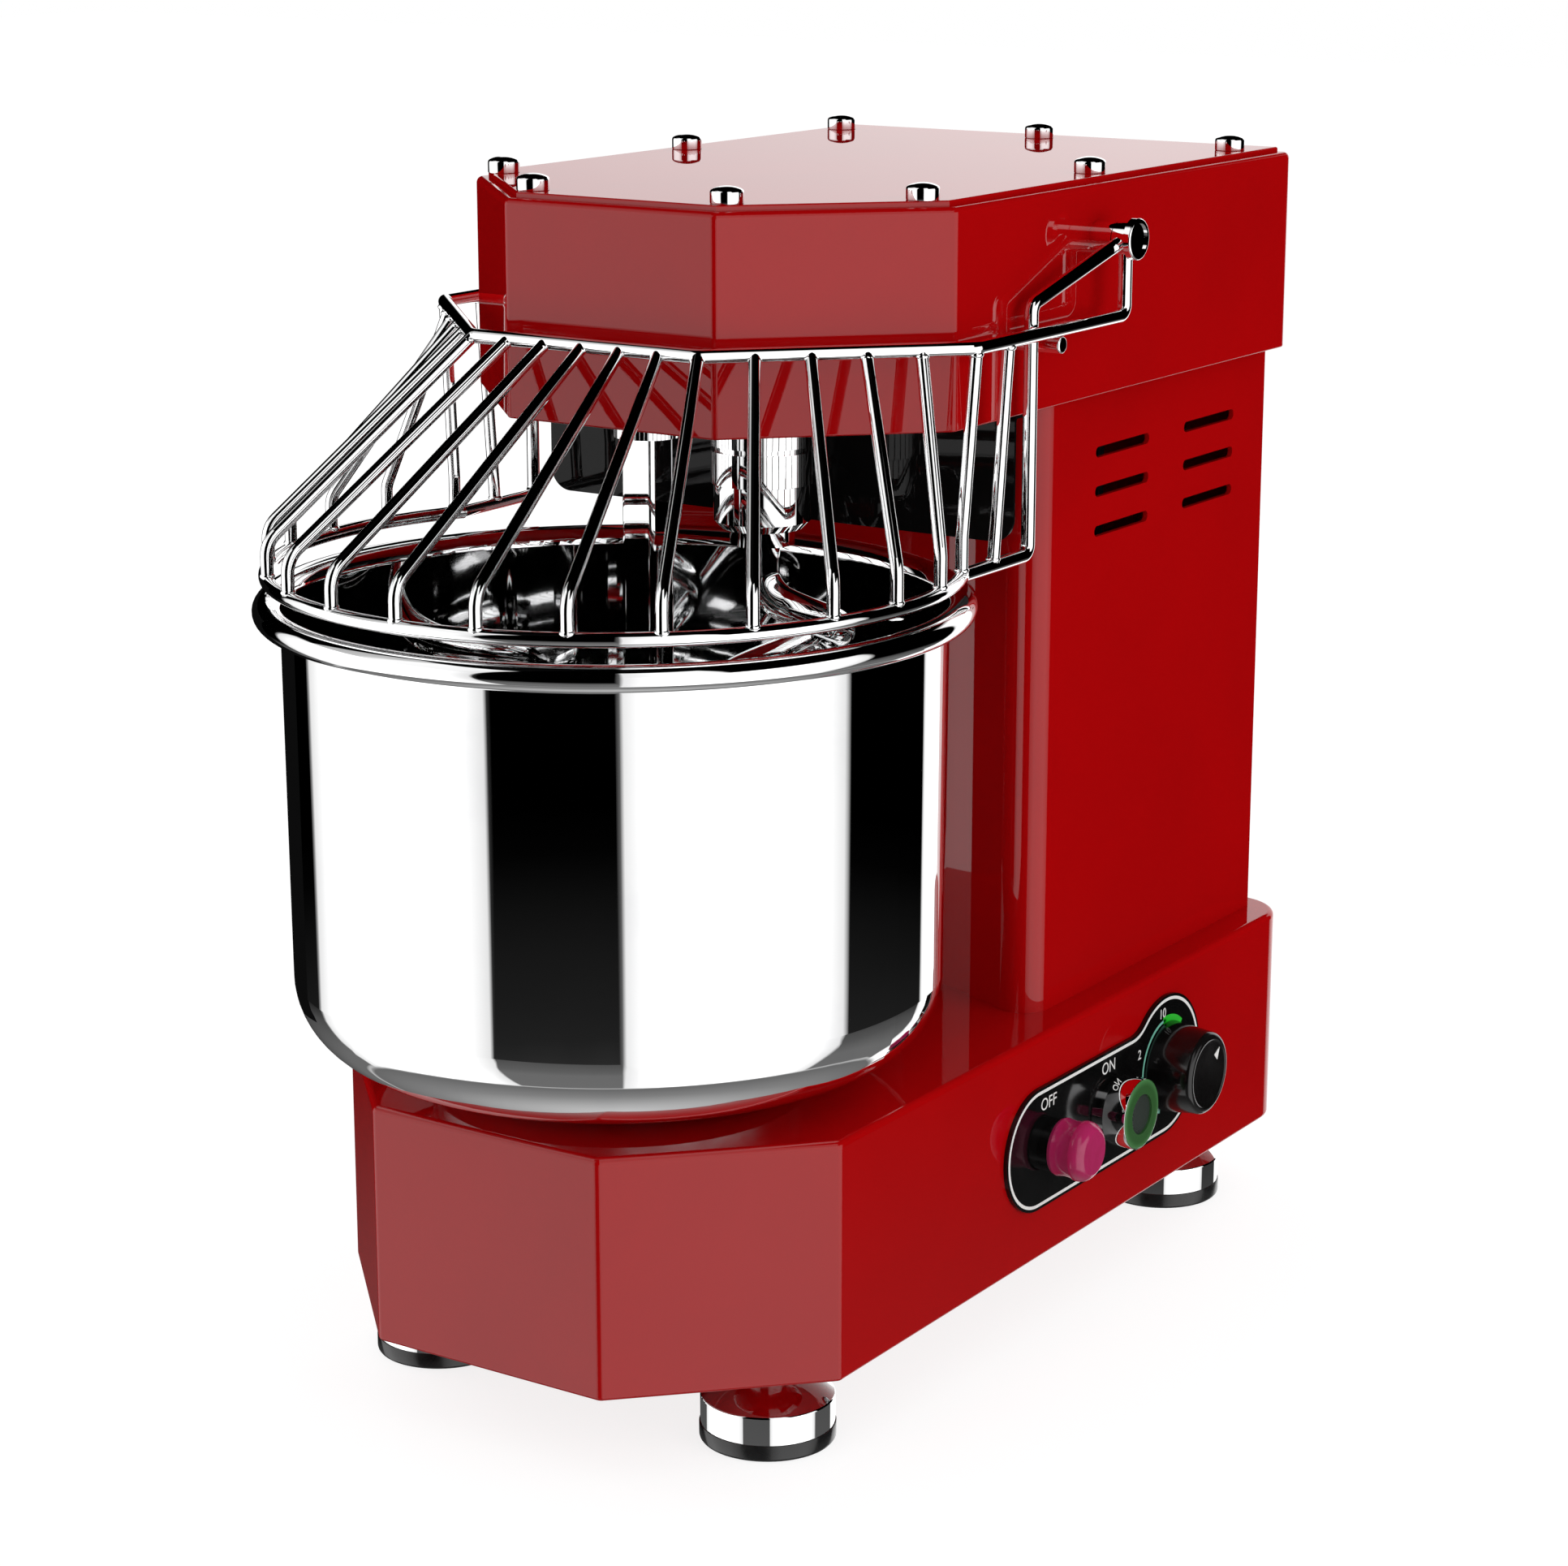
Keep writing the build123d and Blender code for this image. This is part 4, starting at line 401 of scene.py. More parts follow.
@dataclass(frozen=True)
class MachinedFinish:
    """Turned, rolled or cast metal as it leaves the tool."""

    colour: Colour
    shade: Colour
    rough: Pair = (0.22, 0.42)
    metallic: float = 1.0
    lines: float = 2200.0
    line_depth: float = 0.000004

    def dress(self, graph: Graph, shader: Node) -> None:
        """Draws tool lines, and patches where the metal has dulled.

        Args:
            graph: The material's graph.
            shader: Its Principled shader.
        """
        add_patches(graph, shader, (self.colour, self.shade), self.rough, Scale=45.0)
        graph.feed(shader, Metallic=self.metallic)
        add_bump(graph, shader, self.line_depth, Effect.HAIRLINES, Across=30.0, Along=self.lines)


@dataclass(frozen=True)
class MouldedFinish:
    """Moulded plastic or rubber."""

    colour: Colour
    shade: Colour
    rough: Pair = (0.25, 0.4)
    grain: float = 2600.0
    grain_depth: float = 0.00001

    def dress(self, graph: Graph, shader: Node) -> None:
        """Gives a fine moulded grain and a slight change of sheen."""
        add_patches(graph, shader, (self.colour, self.shade), self.rough, Scale=70.0)
        add_bump(graph, shader, self.grain_depth, Effect.GRAIN, Scale=self.grain)


@dataclass(frozen=True)
class LensFinish:
    """Clear coloured plastic round an axis along X, with a painted glow: its colour is painted paler towards
    the rim. Sizes in metres.
    """

    colour: Colour
    painted_rim_glow: Colour
    centre_y: float
    centre_z: float
    radius: float
    rim_start: float = 0.78
    gloss: float = 0.12
    dulling: float = 1.7
    grain_depth: float = 0.000004

    def dress(self, graph: Graph, shader: Node) -> None:
        """Paints the deep colour paler towards the rim, a painted glow of the light that leaves it.

        Args:
            graph: The material's graph.
            shader: Its Principled shader.
        """
        parts = graph.add("ShaderNodeSeparateXYZ")
        graph.feed(parts, Vector=graph.add("ShaderNodeTexCoord").outputs["Object"])
        across = graph.maths("SUBTRACT", parts.outputs["Y"], self.centre_y)
        upward = graph.maths("SUBTRACT", parts.outputs["Z"], self.centre_z)
        squares = graph.maths("ADD", graph.maths("POWER", across, 2.0), graph.maths("POWER", upward, 2.0))
        limits = graph.add("ShaderNodeMapRange", interpolation_type="SMOOTHSTEP")
        start = self.radius * self.rim_start
        graph.feed(limits, Value=graph.maths("SQRT", squares), From_Min=start, From_Max=self.radius)
        patches = EFFECTS.place(graph, Effect.CLOUD, Scale=90.0)
        graph.feed(
            shader,
            # Painted glow: the base colour turns paler towards the rim, standing in for light through the
            # clear plastic.
            Base_Color=graph.blend(limits.outputs[0], self.colour, self.painted_rim_glow),
            Roughness=graph.span(patches, self.gloss, self.gloss * self.dulling),
        )
        add_bump(graph, shader, self.grain_depth, Effect.GRAIN, Scale=3200.0)


class Slot(Enum):
    """The record's material slots."""

    RED_PAINT = "red_paint"
    POLISHED_STEEL = "polished_steel"
    PLAIN_STEEL = "plain_steel"
    CAST_HOUSING = "cast_housing"
    PULLEY_ALLOY = "pulley_alloy"
    MOTOR_PAINT = "motor_paint"
    BELT_RUBBER = "belt_rubber"
    FOOT_RUBBER = "foot_rubber"
    BLACK_PLASTIC = "black_plastic"
    BLACK_ENAMEL = "black_enamel"
    PANEL_BLACK = "panel_black"
    STOP_PINK = "stop_pink"
    START_GREEN = "start_green"
    START_GREY = "start_grey"


class Ink(Enum):
    """Printing inks on the control panel."""

    WHITE = "panel_ink_white"
    TEAL = "panel_ink_teal"
    GREEN = "panel_ink_green"


class Body(Enum):
    """CAD bodies that carry the new pieces."""

    MACHINE = "machine"
    GUARD = "guard"
    START_PUSH = "start_push"
    DIAL = "dial"


class Axis(Enum):
    """Axes that round pieces are turned about, each with the direction in which its profile is drawn."""

    X = ((1, 0, 0), (0, 1, 0))
    Y = ((0, 1, 0), (1, 0, 0))
    Z = ((0, 0, 1), (1, 0, 0))


INK_SURFACE: dict[str, object] = {"rough": (0.35, 0.5), "grain": 5200.0, "grain_depth": 0.000004}

FINISHES: dict[Enum, Finish] = {
    Slot.RED_PAINT: EnamelFinish((0.44, 0.002, 0.003), (0.41, 0.002, 0.003)),
    Slot.POLISHED_STEEL: PolishedFinish(),
    Slot.PLAIN_STEEL: MachinedFinish((0.55, 0.55, 0.56), (0.42, 0.42, 0.43)),
    Slot.CAST_HOUSING: MachinedFinish(
        (0.10, 0.10, 0.11), (0.07, 0.07, 0.075),
        rough=(0.45, 0.65), metallic=0.3, lines=700.0, line_depth=0.00003,
    ),
    Slot.PULLEY_ALLOY: MachinedFinish((0.62, 0.62, 0.63), (0.5, 0.5, 0.51), rough=(0.25, 0.4)),
    Slot.MOTOR_PAINT: EnamelFinish((0.035, 0.038, 0.045), (0.028, 0.03, 0.036), gloss=0.3),
    Slot.BELT_RUBBER: MouldedFinish(
        (0.012, 0.012, 0.012), (0.02, 0.02, 0.02), rough=(0.6, 0.8), grain=1800.0
    ),
    Slot.FOOT_RUBBER: MouldedFinish(
        (0.012, 0.012, 0.0125), (0.018, 0.018, 0.018),
        rough=(0.14, 0.26), grain=1800.0, grain_depth=0.000004,
    ),
    Slot.BLACK_PLASTIC: MouldedFinish(
        (0.004, 0.0035, 0.0035), (0.006, 0.0055, 0.0055),
        rough=(0.12, 0.2), grain=2600.0, grain_depth=0.000004,
    ),
    Slot.BLACK_ENAMEL: EnamelFinish((0.004, 0.004, 0.004), (0.007, 0.0065, 0.0065), coat=0.35),
    Slot.PANEL_BLACK: MouldedFinish(
        (0.003, 0.003, 0.003), (0.005, 0.005, 0.005),
        rough=(0.06, 0.12), grain=3600.0, grain_depth=0.000002,
    ),
    Slot.STOP_PINK: MouldedFinish(
        (0.46, 0.022, 0.12), (0.41, 0.018, 0.1),
        rough=(0.12, 0.2), grain=3200.0, grain_depth=0.000004,
    ),
    # The green ring's paler second colour is painted light, a glow through the clear plastic at its rim.
    Slot.START_GREEN: LensFinish(
        (0.035, 0.115, 0.032), (0.07, 0.22, 0.07), centre_y=0.0725, centre_z=0.077, radius=0.014
    ),
    Slot.START_GREY: MouldedFinish((0.035, 0.045, 0.038), (0.028, 0.036, 0.03), rough=(0.2, 0.32)),
    Ink.WHITE: MouldedFinish((0.92, 0.92, 0.9), (0.87, 0.87, 0.85), **INK_SURFACE),
    Ink.TEAL: MouldedFinish((0.22, 0.62, 0.47), (0.19, 0.56, 0.42), **INK_SURFACE),
    Ink.GREEN: MouldedFinish((0.004, 0.62, 0.01), (0.003, 0.55, 0.008), **INK_SURFACE),
}


class Palette:
    """Hands out one material for each finish."""

    def __init__(self) -> None:
        """Starts with no material made."""
        self.made: dict[Enum, Material] = {}

    def material(self, finish: Enum) -> Material:
        """Finds the material of a slot or an ink, and makes it on first use.

        Args:
            finish: The slot or the ink.

        Returns:
            Its material.
        """
        if finish not in self.made:
            material, graph, output = open_material(f"finish_{finish.value}")
            shader = graph.add("ShaderNodeBsdfPrincipled")
            graph.feed(output, Surface=shader.outputs["BSDF"])
            FINISHES[finish].dress(graph, shader)
            self.made[finish] = material
        return self.made[finish]

    def dress_frame(self, nodes: dict[str, Piece]) -> None:
        """Gives every carried-over node the finish of its slot.

        Args:
            nodes: The frame's nodes by name.
        """
        for name, node in nodes.items():
            for holder in node.material_slots:
                slot = Slot(holder.material.name.split(".")[0])
                holder.material = self.material(slot)
                LOG.info("node %s has %s", name, slot.value)


PALETTE = Palette()


class Bench:
    """Modelling steps that the new pieces share."""

    # Vertices nearer than this become one, on turned pieces and on print.
    MERGE = 0.002 * MM
    SAME_PLACE = 0.0001 * MM
    PRINT_FACETS = 4

    @staticmethod
    def clear() -> None:
        """Leaves edit mode and deselects everything."""
        if bpy.context.mode != "OBJECT":
            bpy.ops.object.mode_set(mode="OBJECT")
        bpy.ops.object.select_all(action="DESELECT")

    @staticmethod
    def take(piece: Piece) -> None:
        """Selects one piece alone and makes it active.

        Args:
            piece: The piece.
        """
        Bench.clear()
        piece.select_set(True)
        bpy.context.view_layer.objects.active = piece

    @staticmethod
    def named(name: str) -> Piece:
        """Names the object that was just made, and its data.

        Args:
            name: The name of both.

        Returns:
            The object.
        """
        piece = bpy.context.object
        piece.name = piece.data.name = name
        return piece

    @staticmethod
    def apply_place() -> None:
        """Puts the place, turn and size of the selected objects into their meshes."""
        bpy.ops.object.transform_apply(location=True, rotation=True, scale=True)

    @staticmethod
    def close(merge: float = 0.0) -> None:
        """Turns all faces outwards and leaves edit mode.

        Args:
            merge: Vertices nearer than this become one first, in metres.
        """
        bpy.ops.mesh.select_all(action="SELECT")
        if merge:
            bpy.ops.mesh.remove_doubles(threshold=merge)
        bpy.ops.mesh.normals_make_consistent(inside=False)
        bpy.ops.object.mode_set(mode="OBJECT")

    @staticmethod
    def pick(piece: Piece, wanted: Callable[[bmesh.types.BMVert], bool]) -> None:
        """Selects the vertices that pass a test, and the edges and faces between them.

        Args:
            piece: The object in edit mode.
            wanted: The test.
        """
        bpy.ops.mesh.select_all(action="DESELECT")
        mesh = bmesh.from_edit_mesh(piece.data)
        for vertex in mesh.verts:
            vertex.select_set(wanted(vertex))
        mesh.select_flush(True)
        bmesh.update_edit_mesh(piece.data)

    @staticmethod
    def chain(name: str, points: list[Vector]) -> Piece:
        """Draws a row of joined vertices and stays in edit mode.

        Args:
            name: The piece's name.
            points: Places of the vertices, in metres.

        Returns:
            The new object, in edit mode with its last vertex selected.
        """
        Bench.clear()
        bpy.ops.mesh.primitive_plane_add(size=MM, location=(0, 0, 0))
        piece = Bench.named(name)
        bpy.ops.object.mode_set(mode="EDIT")
        bpy.ops.mesh.merge(type="CENTER")
        bpy.ops.transform.translate(value=points[0])
        for start, end in zip(points, points[1:]):
            bpy.ops.mesh.extrude_vertices_move(TRANSFORM_OT_translate={"value": end - start})
        return piece

    @staticmethod
    def lathe(
        name: str, profile: Pairs, axis: Axis, centre: Triple = (0.0, 0.0, 0.0), steps: int = 72
    ) -> Piece:
        """Turns a profile into a round piece.

        Args:
            name: The piece's name.
            profile: Pairs of radius and place along the axis, in millimetres.
            axis: The axis's direction.
            centre: A point on the axis, in millimetres.
            steps: How many faces go round.

        Returns:
            The turned object, out of edit mode.
        """
        along, aside = (Vector(direction) for direction in axis.value)
        middle = Vector(centre)
        points = [(middle + aside * radius + along * place) * MM for radius, place in profile]
        piece = Bench.chain(name, points)
        bpy.ops.mesh.select_all(action="SELECT")
        bpy.ops.mesh.spin(steps=steps, angle=2 * math.pi, center=middle * MM, axis=along)
        Bench.close(Bench.MERGE)
        return piece

    @staticmethod
    def ribbon(name: str, outer: list[Vector], inner: list[Vector], closed: bool, raised: Vector) -> Piece:
        """Makes a thin printed band between two lines.

        Args:
            name: The piece's name.
            outer: Points of one edge.
            inner: Points of the other edge, as many.
            closed: Whether the band runs round to its start.
            raised: The thickness of the print, as a move away from the plate.

        Returns:
            The band as a closed solid, out of edit mode.
        """
        piece = Bench.chain(name, outer)
        if closed:
            ends = (outer[0], outer[-1])
            Bench.pick(piece, lambda vertex: any((vertex.co - end).length < Bench.SAME_PLACE for end in ends))
            bpy.ops.mesh.edge_face_add()
        bpy.ops.mesh.select_all(action="SELECT")
        bpy.ops.mesh.extrude_edges_move()
        mesh = bmesh.from_edit_mesh(piece.data)
        for vertex in mesh.verts:
            if vertex.select:
                reach = [(point - vertex.co).length_squared for point in outer]
                vertex.co = inner[reach.index(min(reach))]
        bmesh.update_edit_mesh(piece.data)
        bpy.ops.mesh.select_all(action="SELECT")
        bpy.ops.mesh.extrude_region_move(TRANSFORM_OT_translate={"value": raised})
        Bench.close()
        return piece

    @staticmethod
    def plate(name: str, corners: list[Vector], raised: Vector) -> Piece:
        """Makes a thin flat plate from its corners.

        Args:
            name: The piece's name.
            corners: The corners in order.
            raised: The thickness, as a move away from the first face.

        Returns:
            The plate as a closed solid, out of edit mode.
        """
        piece = Bench.chain(name, corners)
        bpy.ops.mesh.select_all(action="SELECT")
        bpy.ops.mesh.edge_face_add()
        bpy.ops.mesh.extrude_region_move(TRANSFORM_OT_translate={"value": raised})
        Bench.close()
        return piece

    @staticmethod
    def sign(name: str, words: str, size: float, place: Vector, thickness: float) -> Piece:
        """Makes raised print that faces the right of the machine.

        Args:
            name: The piece's name.
            words: The signs to print.
            size: Type size, in metres.
            place: Middle of the print, on the plate's face.
            thickness: How far the print stands up, in metres.

        Returns:
            The print as a mesh.
        """
        Bench.clear()
        bpy.ops.object.text_add(location=(0, 0, 0))
        print_line = Bench.named(name).data
        print_line.body = words
        print_line.align_x = print_line.align_y = "CENTER"
        print_line.size = size
        print_line.extrude = thickness / 2
        print_line.resolution_u = Bench.PRINT_FACETS
        bpy.ops.object.convert(target="MESH")
        piece = Bench.named(name)
        piece.rotation_euler = (math.pi / 2, 0, math.pi / 2)
        piece.location = place + Vector((thickness / 2, 0, 0))
        Bench.apply_place()
        bpy.ops.object.mode_set(mode="EDIT")
        Bench.close(Bench.SAME_PLACE)
        return piece

    @staticmethod
    def spread(piece: Piece, places: list[Vector], turn: float = 0.0) -> Piece:
        """Copies a piece to several places and joins the copies.

        Args:
            piece: The piece, modelled at the origin.
            places: Where its copies go.
            turn: Turn of every copy about X, in degrees.

        Returns:
            One object that holds every copy, in place of the piece.
        """
        copies = []
        for place in places:
            Bench.take(piece)
            bpy.ops.object.duplicate(linked=False)
            copy = bpy.context.object
            copy.rotation_euler = (math.radians(turn), 0, 0)
            copy.location = place
            Bench.apply_place()
            copies.append(copy)
        name = piece.name
        bpy.data.meshes.remove(piece.data)
        Bench.take(copies[0])
        for copy in copies:
            copy.select_set(True)
        bpy.ops.object.join()
        return Bench.named(name)

    @staticmethod
    def cut(piece: Piece, tool: Piece) -> None:
        """Takes the shape of a tool out of a piece and throws the tool away.

        Args:
            piece: The piece that is cut.
            tool: The shape to take out.
        """
        Bench.take(piece)
        modifier = piece.modifiers.new("recess", "BOOLEAN")
        modifier.operation = "DIFFERENCE"
        modifier.solver = "EXACT"
        modifier.object = tool
        bpy.ops.object.modifier_apply(modifier=modifier.name)
        bpy.data.objects.remove(tool, do_unlink=True)

    @staticmethod
    def finish(
        piece: Piece, finish: Enum, body: Body, smooth: float = 35.0, slot: Slot | None = None
    ) -> Piece:
        """Shades a piece, gives it its finish and lets it ride on its body.

        Args:
            piece: The modelled piece.
            finish: The slot or ink that it wears.
            body: The CAD body that carries it.
            smooth: Edges flatter than this angle, in degrees, are shaded round.
            slot: The record's slot that stands for an ink; not used.

        Returns:
            The same piece.
        """
        Bench.take(piece)
        bpy.ops.object.shade_smooth_by_angle(angle=math.radians(smooth))
        piece.data.materials.clear()
        piece.data.materials.append(PALETTE.material(finish))
        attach(piece, body.value)
        LOG.info("piece %s: %d faces, rides on %s", piece.name, len(piece.data.polygons), body.value)
        return piece


@dataclass
class PanelPrint:
    """White border, speed scale and signs printed on the black control plate. Sizes in millimetres."""

    face: float = 112.7
    thickness: float = 0.07
    left_y: float = 13.9
    top: float = 102.0
    dial_y: float = 116.5
    dial_z: float = 82.5
    lobe: float = 29.6
    sweep: float = 15.0
    border_in: float = 1.2
    border_wide: float = 1.25
    step: float = 3.0
    scale_radius: float = 19.3
    scale_wide: float = 1.15
    scale_ends: Pair = (258.0, 92.0)
    wedge_radii: Pair = (17.0, 21.0)
    wedge_ends: Pair = (98.0, 50.0)
    number_size: float = 5.8
    sign_size: float = 7.0
    low_place: Pair = (94.0, 92.9)
    high_place: Pair = (113.0, 105.0)
    off_place: Pair = (20.8, 94.6)
    on_place: Pair = (68.4, 95.2)

    def spot(self, y: float, z: float) -> Vector:
        """Turns a place on the plate into metres."""
        return Vector((self.face, y, z)) * MM

    def arc(self, y: float, z: float, radius: float, start: float, end: float) -> list[Vector]:
        """Points on an arc, with angles in degrees from +Y towards +Z.

        Args:
            y: Centre of the arc, to the back.
            z: Centre of the arc, upwards.
            radius: Its radius.
            start: Angle of the first point.
            end: Angle of the last point.

        Returns:
            The points from start to end.
        """
        count = max(2, round(abs(end - start) / self.step))
        angles = [math.radians(start + (end - start) * number / count) for number in range(count + 1)]
        return [self.spot(y + radius * math.cos(angle), z + radius * math.sin(angle)) for angle in angles]

    def outline(self, inside: float) -> list[Vector]:
        """The plate's outline, drawn inwards.

        Args:
            inside: How far inwards.

        Returns:
            The points of the closed line.
        """
        bottom = self.dial_z - self.lobe
        left = (self.top - bottom) / 2
        rise = self.top + self.sweep - self.dial_z
        reach = self.lobe + self.sweep
        sweep_y = self.dial_y - math.sqrt(reach**2 - rise**2)
        lean = math.degrees(math.atan2(rise, self.dial_y - sweep_y))
        points = self.arc(self.left_y, bottom + left, left - inside, 270, 90)
        points += self.arc(sweep_y, self.top + self.sweep, self.sweep + inside, 270, 360 - lean)
        points += self.arc(self.dial_y, self.dial_z, self.lobe - inside, 180 - lean, -90)
        return points

    def build(self) -> None:
        """Prints the border, the speed scale with its green wedge, and the signs."""
        raised = Vector((self.thickness, 0, 0)) * MM
        edges = (self.outline(self.border_in), self.outline(self.border_in + self.border_wide))
        border = Bench.ribbon("panel_border", *edges, True, raised)
        Bench.finish(border, Ink.WHITE, Body.MACHINE, slot=Slot.PANEL_BLACK)
        half = self.scale_wide / 2
        scale_radii = (self.scale_radius - half, self.scale_radius + half)
        bands = (
            ("speed_scale", scale_radii, self.scale_ends, Ink.TEAL, Slot.PANEL_BLACK),
            ("speed_wedge", self.wedge_radii, self.wedge_ends, Ink.GREEN, Slot.START_GREEN),
        )
        for name, radii, ends, ink, slot in bands:
            inner, outer = (self.arc(self.dial_y, self.dial_z, radius, *ends) for radius in radii)
            Bench.finish(Bench.ribbon(name, outer, inner, False, raised), ink, Body.MACHINE, slot=slot)
        signs = (
            ("number_low", "2", self.number_size, self.low_place),
            ("number_high", "10", self.number_size, self.high_place),
            ("sign_off", "OFF", self.sign_size, self.off_place),
            ("sign_on", "ON", self.sign_size, self.on_place),
        )
        for name, words, size, place in signs:
            sign = Bench.sign(name, words, size * MM, self.spot(*place), self.thickness * MM)
            Bench.finish(sign, Ink.WHITE, Body.MACHINE, slot=Slot.PANEL_BLACK)


@dataclass
class SpeedKnob:
    """Tapered black knob with a sunk face and a white pointer. Sizes in millimetres."""

    centre: Triple = (0.0, 116.5, 82.5)
    profile: Pairs = (
        (0.0, 124.1), (3.02, 124.1), (3.02, 113.1), (18.1, 113.1), (18.4, 113.25), (18.55, 113.6),
        (16.85, 130.4), (16.7, 131.1), (16.3, 131.8), (15.75, 132.3), (15.1, 132.6), (14.4, 132.7),
        (14.1, 132.66), (13.85, 132.5), (13.5, 132.36), (13.0, 132.32), (0.0, 132.32),
    )
    pointer: Pairs = ((12.6, 46.0), (8.0, 58.0), (8.0, 31.0))
    face: float = 132.32
    pointer_thick: float = 0.2

    def build(self) -> None:
        """Turns the knob and lays the pointer in its face."""
        knob = Bench.lathe("knob_body", self.profile, Axis.X, self.centre, steps=96)
        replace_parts(Bench.finish(knob, Slot.BLACK_PLASTIC, Body.DIAL, smooth=50.0), "speed_knob")
        _, y, z = self.centre
        corners = []
        for radius, angle in self.pointer:
            lean = math.radians(angle)
            place = (self.face, y + radius * math.cos(lean), z + radius * math.sin(lean))
            corners.append(Vector(place) * MM)
        pointer = Bench.plate("knob_pointer", corners, Vector((self.pointer_thick, 0, 0)) * MM)
        Bench.finish(pointer, Ink.WHITE, Body.DIAL, slot=Slot.BLACK_PLASTIC)


@dataclass
class StartSkirt:
    """Polished skirt behind the green ring, which slides over the fixed bezel. Sizes in millimetres."""

    centre: Triple = (0.0, 72.5, 77.0)
    profile: Pairs = (
        (12.95, 115.6), (13.9, 115.6), (14.1, 115.68), (14.2, 115.9), (14.2, 125.3), (14.17, 125.42),
        (14.1, 125.48), (14.03, 125.48), (14.03, 123.38), (12.95, 123.38), (12.95, 115.6),
    )

    def build(self) -> None:
        """Turns the skirt about the button's axis."""
        skirt = Bench.lathe("start_skirt", self.profile, Axis.X, self.centre, steps=96)
        Bench.finish(skirt, Slot.POLISHED_STEEL, Body.START_PUSH, smooth=50.0)


@dataclass
class SheetScrews:
    """Cross-headed screws of the back cover and of the plate under the base. Sizes in millimetres.

    The recess is given in shares: its arms of the head's radius, its depth of the head's height, and its
    floor of its mouth.
    """

    radius: float = 3.6
    height: float = 2.2
    crown: float = 1.3
    crown_steps: int = 5
    facets: int = 32
    recess_long: float = 0.62
    recess_wide: float = 0.17
    recess_deep: float = 0.55
    recess_floor: float = 0.7
    back_y: float = 218.5
    back_x: float = 88.0
    back_rows: tuple[float, ...] = (136.998, 241.85, 346.702)
    back_turn: float = -90.0
    floor_z: float = 31.5
    floor_places: Pairs = ((102.0, -92.0), (102.0, 24.0), (102.0, 138.0), (44.0, 222.0), (22.0, -177.0))
    floor_turn: float = 180.0

    def head(self, name: str) -> Piece:
        """Models a round head with a cross recess, standing on the origin.

        Args:
            name: The piece's name.

        Returns:
            The head, out of edit mode.
        """
        radius, height = self.radius * MM, self.height * MM
        Bench.clear()
        bpy.ops.mesh.primitive_cylinder_add(
            vertices=self.facets, radius=radius, depth=height, location=(0, 0, height / 2)
        )
        head = Bench.named(name)
        Bench.apply_place()
        bpy.ops.object.mode_set(mode="EDIT")
        Bench.pick(head, lambda vertex: vertex.co.z > height / 2)
        bpy.ops.mesh.bevel(offset=self.crown * MM, segments=self.crown_steps, affect="EDGES")
        bpy.ops.object.mode_set(mode="OBJECT")
        arm, thick = radius * self.recess_long, radius * self.recess_wide
        for size in ((arm, thick), (thick, arm)):
            Bench.clear()
            bpy.ops.mesh.primitive_cube_add(size=2.0, location=(0, 0, height))
            tool = bpy.context.object
            tool.scale = (*size, height * self.recess_deep)
            Bench.apply_place()
            bpy.ops.object.mode_set(mode="EDIT")
            Bench.pick(tool, lambda vertex: vertex.co.z < height)
            bpy.ops.transform.resize(value=(self.recess_floor, self.recess_floor, 1.0))
            bpy.ops.object.mode_set(mode="OBJECT")
            Bench.cut(head, tool)
        return head

    def place(self, name: str, places: list[Vector], turn: float) -> Piece:
        """Sets heads at some places, all turned about X by some degrees, and makes them one piece."""
        screws = Bench.spread(self.head(name), places, turn)
        return Bench.finish(screws, Slot.PLAIN_STEEL, Body.MACHINE, smooth=40.0)

    def build(self) -> None:
        """Sets the screws of the back cover and of the base plate."""
        back = [Vector((side * self.back_x, self.back_y, z)) * MM for side in (-1, 1) for z in self.back_rows]
        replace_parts(self.place("back_cover_screws", back, self.back_turn), "rear_cover_screws")
        under = [Vector((side * x, y, self.floor_z)) * MM for side in (-1, 1) for x, y in self.floor_places]
        self.place("base_plate_screws", under, self.floor_turn)


@dataclass
class CapNuts:
    """Round polished cap nuts on the lid, with a low dome. Sizes in millimetres."""

    lid_top: float = 442.3
    side_x: float = 92.0
    side_rows: tuple[float, ...] = (-44.0, 76.0, 191.0)
    single: Pairs = ((-42.0, -92.0), (42.0, -92.0), (0.0, 199.0))
    profile: Pairs = (
        (0.0, 0.0), (5.7, 0.0), (5.93, 0.12), (6.0, 0.4), (6.0, 3.7), (5.97, 4.05), (5.86, 4.38),
        (5.65, 4.66), (5.3, 4.92), (4.7, 5.22), (3.9, 5.52), (3.0, 5.77), (2.0, 5.96), (1.0, 6.06),
        (0.0, 6.09),
    )

    def build(self) -> None:
        """Turns one nut and copies it to every stud."""
        nut = Bench.lathe("lid_cap_nuts", self.profile, Axis.Z, steps=48)
        studs = [(side * self.side_x, y) for side in (-1, 1) for y in self.side_rows] + list(self.single)
        nuts = Bench.spread(nut, [Vector((x, y, self.lid_top)) * MM for x, y in studs])
        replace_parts(Bench.finish(nuts, Slot.POLISHED_STEEL, Body.MACHINE, smooth=40.0), "cover_nuts")


